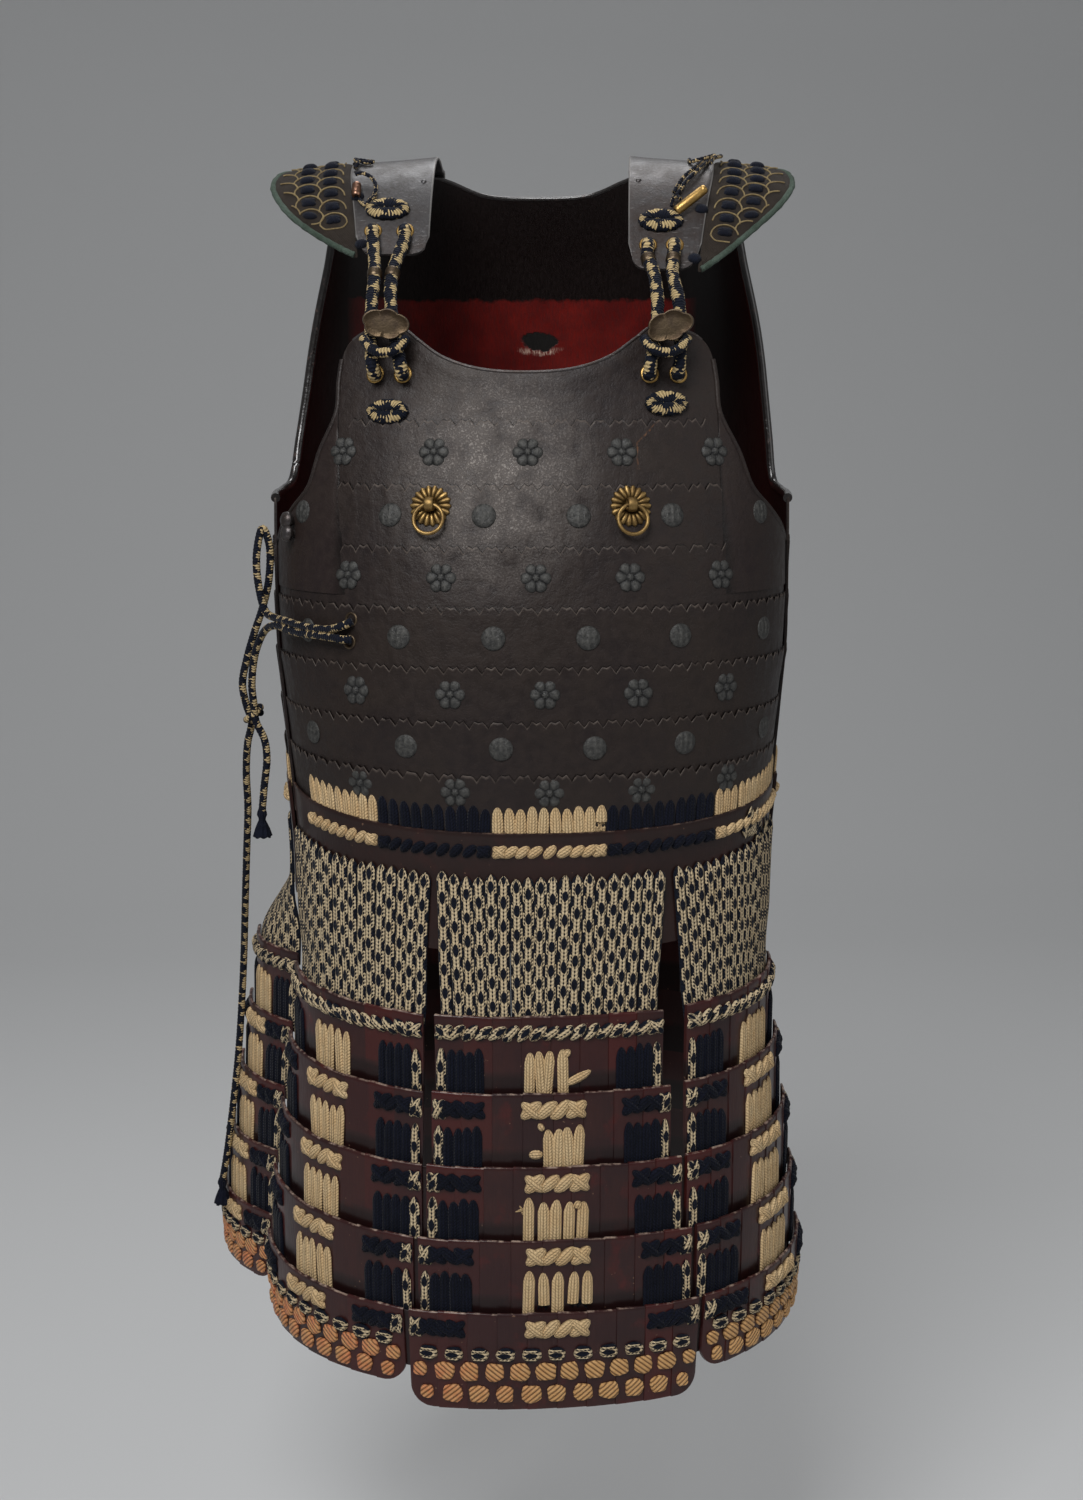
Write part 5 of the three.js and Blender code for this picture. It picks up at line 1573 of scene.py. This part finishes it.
def on_wing(side):
    """The wing beside a strap, from its inner edge (0) to its outer (1) and from front to back."""
    rows = wing_rows(side)

    def surface(across, along, height):
        across, along, height = np.broadcast_arrays(*(np.asarray(v, float) for v in (across, along, height)))
        at = along * (len(rows) - 1)
        x, y, z = (monotone(np.arange(len(rows)), rows[:, k], at) for k in range(3))
        out = 0.8 + across * wing_reach(along)
        return worn(np.stack([side * (x + out), y, z - 0.12 * out + height], -1))

    return surface


SCALE_STEP = 11.8


def shoulder_wing(letter, side, quilt, binding, thread, navy):
    """A quilted half-round of cloth: a low crown between the stitched scales, bound in green along
    its curved edge, with a navy knot in each scale of the inner two columns."""
    surface = on_wing(side)
    across = np.concatenate([np.linspace(0, 1, 30), np.linspace(1, 0, 30)])
    upper = np.concatenate([np.ones(30), np.zeros(30)])
    along = 0.5 - 0.5 * np.cos(np.linspace(0, 1, 90) * PI)
    u, v = across[:, None], along[None, :]
    puff = 0.9 * np.abs(np.sin(PI * (v * 11.0 + 0.5))) ** 0.5 * np.abs(np.sin(PI * u * 3.4)) ** 0.4
    crown = np.maximum(1 - (2 * u - 1) ** 8, 0) ** 0.5
    height = np.where(upper[:, None] > 0, 0.2 + (2.2 + puff) * crown, 0.2 - 1.0 * crown)
    pad = build(
        f"wing_quilt_{letter}", swept(surface(u, v, height)), quilt, "quilted_cloth", replaces=[f"shoulder_wing_{letter}"]
    )
    edge = surface(0.985, 0.5 - 0.5 * np.cos(np.linspace(0.0, 1.0, 110) * PI), 0.9)
    fray = 2.1 + 0.25 * np.sin(np.arange(110) * 1.7) * np.sin(np.arange(110) * 0.37)
    build(f"wing_binding_{letter}", tube(edge, fray[None, :], 12, (0, 0, 1)), binding, "quilted_cloth")

    # Scales overlap upwards in three columns, each half a row from the next; the inner two have knots.
    rows = wing_rows(side)
    far = np.concatenate([[0], np.cumsum(np.linalg.norm(np.diff(rows, axis=0), axis=1))])

    def laid(x, y, height):
        run = np.interp(y, far, np.linspace(0, 1, len(rows)))
        return surface(x / wing_reach(run), run, height), (x / wing_reach(run) < 0.9) & (y > 3) & (y < far[-1] - 4)

    arch = np.array([(-9.4, -3.6), (-8.6, 0.4), (-5.6, 4.2), (0, 6.0), (5.6, 4.2), (8.6, 0.4), (9.4, -3.6)])
    foot = np.array([(-9.4, -3.6), (-6.2, -7.2), (0, -7.6), (6.2, -7.2), (9.4, -3.6)])
    lines, lumps = [], []
    for x, first, knotted in ((15.0, 28.5, True), (31.0, 34.5, True), (47.0, 28.5, False)):
        for row in range(8):
            y = first + SCALE_STEP * row
            for curve in (arch, foot)[: 2 if row == 0 else 1]:
                path, _ = path_through(curve + (x, y), spacing=1.2)
                points, inside = laid(path[:, 0], path[:, 1], 3.3)
                if inside.sum() > 4:
                    lines.append(tube(points[inside], 0.55, 6, (0, 0, 1)))
            s = np.linspace(-1, 1, 9)
            for tilt in (0.35, -0.35):
                points, inside = laid(x + s * 5.2 * np.cos(tilt), y + s * 5.2 * np.sin(tilt), 3.2)
                thick = 2.9 * np.maximum(1 - np.abs(s) ** 2.5, 0.05) ** 0.5
                if knotted and inside.all():
                    lumps.append(tube(points, thick[None, :], 10, (0, 0, 1)))
    for y in (5.0, 46.0):
        s = np.linspace(-1, 1, 9)
        points, _ = laid(-3.0 + s * 4.6, y + 0 * s, 3.4)
        lumps.append(tube(points, 3.6 * np.maximum(1 - np.abs(s) ** 2.5, 0.05)[None, :] ** 0.5, 12, (0, 0, 1)))
    build(f"wing_scale_stitching_{letter}", lines, thread, "quilted_cloth")
    build(f"wing_knots_{letter}", lumps, navy, "quilted_cloth")


# Each barrel's middle on the strap as (across, along, height), its direction, half its length and its
# radius, then the routes of its thin cords on the strap.
BARRELS = {
    1: dict(
        middle=(0.80, 0.155, 9.0), lean=(22.3, 6.0, 17.5), half=13.0, radius=3.4,
        routes=[
            [(0.55, 0.15, 4.5), (0.57, 0.17, 7.0), (0.62, 0.17, 8.0), (0.66, 0.16, 9.0)],
            [(0.60, 0.19, 4.0), (0.70, 0.235, 5.5), (0.82, 0.28, 6.0), (0.93, 0.34, 5.0), (0.97, 0.42, 3.0)],
            [(0.56, 0.20, 4.0), (0.66, 0.255, 5.0), (0.78, 0.30, 5.5), (0.88, 0.36, 5.0), (0.90, 0.44, 3.0)],
            [(0.98, 0.25, 12.0), (1.02, 0.30, 10.0), (0.95, 0.35, 7.5), (0.84, 0.36, 6.0), (0.74, 0.37, 4.0), (0.72, 0.43, 3.0)],
            [(1.0, 0.26, 12.0), (1.10, 0.31, 9.0), (1.06, 0.37, 6.0), (0.94, 0.40, 5.0), (0.82, 0.41, 3.5)],
        ],
    ),
    -1: dict(
        middle=(0.955, 0.182, 6.5), lean=(0.0, 3.2, 5.0), half=5.4, radius=3.4,
        routes=[
            [(0.95, 0.24, 8.0), (0.88, 0.26, 8.0), (0.76, 0.255, 7.0), (0.70, 0.22, 6.0), (0.74, 0.185, 5.0)],
            [(0.93, 0.16, 5.0), (0.86, 0.15, 6.0), (0.78, 0.175, 6.0), (0.72, 0.19, 5.0)],
            [(0.97, 0.30, 4.0), (0.93, 0.33, 6.0), (0.98, 0.36, 6.0), (0.94, 0.40, 4.5), (0.86, 0.37, 4.5), (0.76, 0.38, 4.0)],
            [(0.99, 0.33, 3.5), (0.93, 0.37, 5.5), (0.84, 0.40, 4.0), (0.76, 0.42, 3.0)],
        ],
    ),
}


def barrel_toggle(letter, side, brass, braided):
    """A small brass barrel on thin cords that lie on the strap and pass behind its outer edge."""
    surface = on_strap(side)
    made = BARRELS[side]
    half, r = made["half"], made["radius"]
    middle = surface(*made["middle"])
    lean = worn(np.array([made["lean"]]))[0]
    lean /= np.linalg.norm(lean)
    sideways = np.cross(lean, (0, -1, 0.2))
    sideways /= np.linalg.norm(sideways)
    axes = np.stack([sideways, np.cross(lean, sideways), lean])
    lip = [(0.05, half - 1.2), (0.58 * r, half - 0.2), (0.76 * r, half), (0.92 * r, half - 0.8), (0.98 * r, half - 2.2)]
    collar = [(0.92 * r, half - 2.9), (0.98 * r, half - 3.6)]
    profile = [(radius, -height) for radius, height in lip + collar] + [(r, 0)] + (lip + collar)[::-1]
    build(f"barrel_toggle_{letter}", turned_solid(profile, 32, middle, axes), brass, "brass")
    cords = []
    for route in made["routes"]:
        path, run = path_through([surface(*point) for point in route], spacing=0.8)
        cords.append(tube(path, 1.35 * (1 + 0.1 * np.sin(run * 2.1))[None, :], 12, (0.1, -0.7, 0.7), lengths=run))
    build(f"barrel_cords_{letter}", cords, braided, "navy_cream_braid")


# ---------------------------------------------------------------- studs and rings


def chest_rings(brass):
    """Petalled washers with a round boss bored across, and the rings that swing in them. Each bore
    lies round its ring's hinge."""
    hinges = {joint["name"]: joint["pos_m"] for joint in frame["record"]["behaviour"]["joints"]}
    for letter, side, body in [("L", 1, "ring_left"), ("R", -1, "ring_right")]:
        place, axes = plate_frame(side * RING_ANGLE, RING_Z)
        petals = lambda angle, share: (
            1 + 0.05 * np.cos(18 * angle) * (share > 0.9),
            0.95 * np.abs(np.cos(9 * angle)) ** 0.7 * smoothstep(share, 0.3, 0.55) * (1 - smoothstep(share, 0.93, 1.0)),
        )
        profile = [
            (0.05, 1.2), (3.6, 1.2), (4.5, 1.3), (5.4, 1.5), (7.2, 1.9), (9.2, 2.0), (11.2, 1.8), (12.8, 1.4), (13.4, 0.9),
            (13.2, 0.3), (0.05, 0.3),
        ]
        hollow = np.array([0.2, 0.5, 0.8, 0.7, 0.1, 0, 0, 0.1, 0.1, 0.5, 0.5])[None, :]
        flute = 0.75 * (1 - np.abs(np.cos(9 * np.arange(144)[:, None] / 144 * 2 * PI))) ** 1.2
        washer = turned_solid(profile, 144, place, axes, petals, np.clip(hollow + flute * (hollow < 0.6), 0, 1))
        turn = np.linspace(0, 2 * PI, 25)[:-1][:, None]
        x, r = 3.1 * np.cos(turn), 3.85 + 1.0 * np.sin(turn)
        around = np.arange(40)[None, :] / 40 * 2 * PI
        hinge = (np.array(hinges[f"{body}_swing"]) / MM - place) @ axes.T
        local = np.stack([x + 0 * around, hinge[1] + r * np.cos(around), hinge[2] + r * np.sin(around)], -1)
        boss = swept(local @ axes + place, closed=True)
        build(f"ring_washer_{letter}", [washer, boss], brass, "brass", replaces=[f"ring_mount_{letter}"])
        around = np.arange(72) / 72 * 2 * PI
        centre = np.array([0, -RING_MAJOR, RING_HEIGHT])
        local = centre + np.stack([RING_MAJOR * np.cos(around), RING_MAJOR * np.sin(around), 0 * around], -1)
        wire = tube(local @ axes + place, RING_WIRE, 16, axes[2], closed=True)
        build(f"chest_ring_{letter}", wire, brass, "brass", body=body, replaces=[f"ring_{letter}"])


def studs(iron):
    """Iron studs in a regular quincunx: rows of petalled rosettes and of ribbed round heads."""
    made = []
    front_limit = {-198: 41, -239: 58, -279: 78, -318: 80, -355: 80, -391: 80, -421: 76}
    for row, (z, limit) in enumerate(front_limit.items()):
        step = 31 if row % 2 else 0
        xs = [x for k in range(4) for x in (k * 62 + step, -k * 62 - step)]
        for x in sorted(set(xs)):
            half = monotone(SECTION_Z, SECTIONS["half_width"], z)
            if abs(x) > half * 0.985 or abs(angle_at(x, z)) > limit:
                continue
            made.append(stud(float(angle_at(x, z)), z, row % 2 == 0, 0.35))
    for row, z in enumerate([-116, -157, -198, -239, -279, -318, -355, -391, -421]):
        step = 31 if row % 2 else 0
        for x in sorted({x for k in range(4) for x in (k * 62 + step, -k * 62 - step)}):
            half = monotone(SECTION_Z, SECTIONS["half_width"], z)
            reach = 58 if z > -240 else 78
            if abs(x) > half * 0.985 or abs(angle_at(x, z)) > reach:
                continue
            made.append(stud(180 - float(angle_at(x, z)), z, row % 2 == 0, BACK_STEP + 0.35))
    build("iron_studs", made, iron, "grey_iron")


def stud(angle, z, rosette, out):
    """One stud: a domed head, pressed either into six petals round a boss or into upright ribs."""
    climb = float(side_rise(angle) * np.clip((-z - 360) / 110, 0, 1))
    place, axes = plate_frame(angle, z + climb, out)
    if rosette:
        profile = [
            (0.05, 2.6), (1.4, 2.4), (2.2, 1.7), (2.8, 1.2), (4.4, 1.6), (6.4, 1.8), (8.4, 1.5), (9.8, 0.8), (10.2, 0.1),
            (10.0, -0.6), (0.05, -0.6),
        ]
        petals = lambda around, share: (
            1 - 0.17 * (1 - np.abs(np.cos(3 * around)) ** 0.8) * smoothstep(share, 0.3, 0.9),
            -0.8 * (1 - np.abs(np.cos(3 * around))) ** 2.0 * smoothstep(share, 0.25, 0.4) * (share < 0.99),
        )
        hollow = np.array([0, 0, 0.5, 0.9, 0.3, 0.05, 0.1, 0.3, 0.8, 1, 1])[None, :]
        groove = (1 - np.abs(np.cos(3 * np.arange(36)[:, None] / 36 * 2 * PI))) ** 2 * (hollow < 0.95)
        return turned_solid(profile, 36, place, axes, petals, np.clip(hollow + groove, 0, 1))
    profile = [(0.05, 2.2), (2.0, 2.15), (4.0, 2.0), (6.0, 1.6), (7.4, 1.0), (8.0, 0.4), (8.1, -0.1), (8.0, -0.6), (0.05, -0.6)]
    ribs = lambda around, share: (1.0 + 0 * around, 0.35 * np.cos(share * 8.4 * np.cos(around) * 2 * PI / 4.2) * (share < 0.9))
    hollow = np.array([0, 0, 0.05, 0.1, 0.15, 0.3, 0.8, 1, 1])[None, :]
    dark = np.clip(-np.cos(np.array([p[0] for p in profile])[None, :] * np.cos(np.arange(28)[:, None] / 28 * 2 * PI) * 2 * PI / 4.2), 0, 1)
    return turned_solid(profile, 28, place, axes, ribs, np.clip(hollow + 0.45 * dark * (hollow < 0.3), 0, 1))


def breast_cord_eyes(patterned, brass):
    """A flat cord laid in an oval under each pair of eyelets, and the eyelets of the side ties."""
    made = []
    for x, z in [(92.5, -166.5), (-92.5, -172)]:
        place, axes = plate_frame(float(angle_at(x, z)), z, 0.3)
        made.append(cord_eye(place, axes, 30, 3.6, 5.0))
    build("breast_cord_eyes", made, patterned, "navy_cream_braid")
    eyelets = [grommet(*plate_frame(angle, z, 0.6), 4.0, 1.2) for angle, z in ((-40.6, -308.0), (-41.7, -323.0))]
    build("tie_eyelets", eyelets, brass, "brass")


# ---------------------------------------------------------------- the whole armour

set_stage()

tie_braid = round_braid("silk_tie_cord", 1, 17.0, "#c3ac82", "#0c0f18")
shoulder_braid = round_braid("silk_shoulder_cord", 1.5, 24.0, "#c2ab7e", "#0c0f18")
cream_braid = braid("cream_silk_braid", ("#d3b386", "#e2cba2", "#6b563a"), 2.2)
navy_braid = braid("navy_silk_braid", ("#0d101c", "#141829", "#040508"), 2.2)
arrow_braid = braid("arrow_feather_braid", ("#cab592", "#d8c7a6", "#544838"), 2.6, ("#0b0e17", "#161b27"))
hemp = corded_pad()
iron = russet_iron("russet_lacquered_iron", "#211a1a", "#28201c")
gusset_iron = russet_iron("russet_gusset_iron", "#251c1c", "#2a211d")
stud_iron = patinated_iron()
strap_iron = satin_iron()
chestnut = red_brown_lacquer("chestnut_lacquer", "#2c1819", "#351c1a", "#5c1a15", "#a08a7c")
waist_lacquer = red_brown_lacquer("dark_waist_lacquer", "#241614", "#2b1a17", "#3c1a16", "#6a564a")
vermilion = red_lacquer()
black = black_lacquer()
gilt_copper = gilt("gilt_copper", "#a78a58", "#7c6441", 0.46)
brown_brass = gilt("browned_brass", "#6c5d4a", "#4b4037", 0.42)
red_copper = gilt("reddish_copper", "#a8806c", "#7a5a48", 0.3)
eyelet_brass = gilt("eyelet_brass", "#b8965a", "#8c6f42", 0.4)
quilt_cloth = cloth("brown_quilt_cloth", "#2b2420", "#362f29", 1.1)
green_edge = cloth("green_hemp_binding", "#3c4b40", "#55645a", 1.2)
cream_thread = cloth("cream_silk_thread", "#a8946a", "#8f7c58", 0.9)
navy_thread = cloth("navy_silk_knots", "#0f1320", "#171d2c", 1.4)

tie_cords(tie_braid, navy_braid)
for letter, side in (("L", 1), ("R", -1)):
    shoulder_cords(letter, side, shoulder_braid, brown_brass)
    shoulder_strap(letter, side, strap_iron, shoulder_braid, eyelet_brass)
    shoulder_wing(letter, side, quilt_cloth, green_edge, cream_thread, navy_thread)
    barrel_toggle(letter, side, eyelet_brass if side > 0 else red_copper, tie_braid)
body_plates(iron, gusset_iron, vermilion, black, strap_iron)
waist_lames(waist_lacquer)
studs(stud_iron)
chest_rings(gilt_copper)
breast_cord_eyes(shoulder_braid, brown_brass)

laced = waist_lacing()
pad_parts, knot_parts = [], []
for name, panel in PANELS.items():
    curtain(name, panel, arrow_braid)
    lames(name, panel, chestnut)
    skirt_lacing(name, panel, laced, pad_parts, knot_parts)
for colour, material in [("cream", cream_braid), ("navy", navy_braid), ("patterned", arrow_braid)]:
    build(f"{colour}_lacing", laced[colour], material, "navy_cream_braid")
build("hem_knots", knot_parts, arrow_braid, "navy_cream_braid")
build("hem_pads", pad_parts, hemp, "navy_cream_braid")

floor_run = np.concatenate([np.linspace(-2.6, 2.2, 12), 2.2 + 1.6 * np.sin(np.linspace(0.1, 1, 14) * PI / 2), [3.8, 3.8]])
floor_rise = np.concatenate([np.zeros(12), 1.6 * (1 - np.cos(np.linspace(0.1, 1, 14) * PI / 2)), [2.6, 4.2]]) + FLOOR_Z
across = np.linspace(-4.5, 4.5, 10)
sweep = np.stack(np.broadcast_arrays(across[:, None], floor_run[None, :], floor_rise[None, :]), -1).reshape(-1, 3)
row, column = np.arange(9)[:, None], np.arange(len(floor_run) - 1)
corner = (row * len(floor_run) + column).ravel()
sweep_faces = np.stack([corner, corner + len(floor_run), corner + len(floor_run) + 1, corner + 1], -1)
floor_mesh = bpy.data.meshes.new("studio_floor")
floor_mesh.from_pydata(sweep.tolist(), [], sweep_faces.tolist())
floor_mesh.polygons.foreach_set("use_smooth", np.ones(len(sweep_faces), bool))
paper, paper_shader, _ = material_of("backdrop_paper", Roughness=0.9)
paper_shader.inputs["Base Color"].default_value = linear("#cfd0d1")
floor_mesh.materials.append(paper)
floor = bpy.data.objects.new("studio_floor", floor_mesh)
bpy.context.scene.collection.objects.link(floor)

bpy.context.view_layer.update()
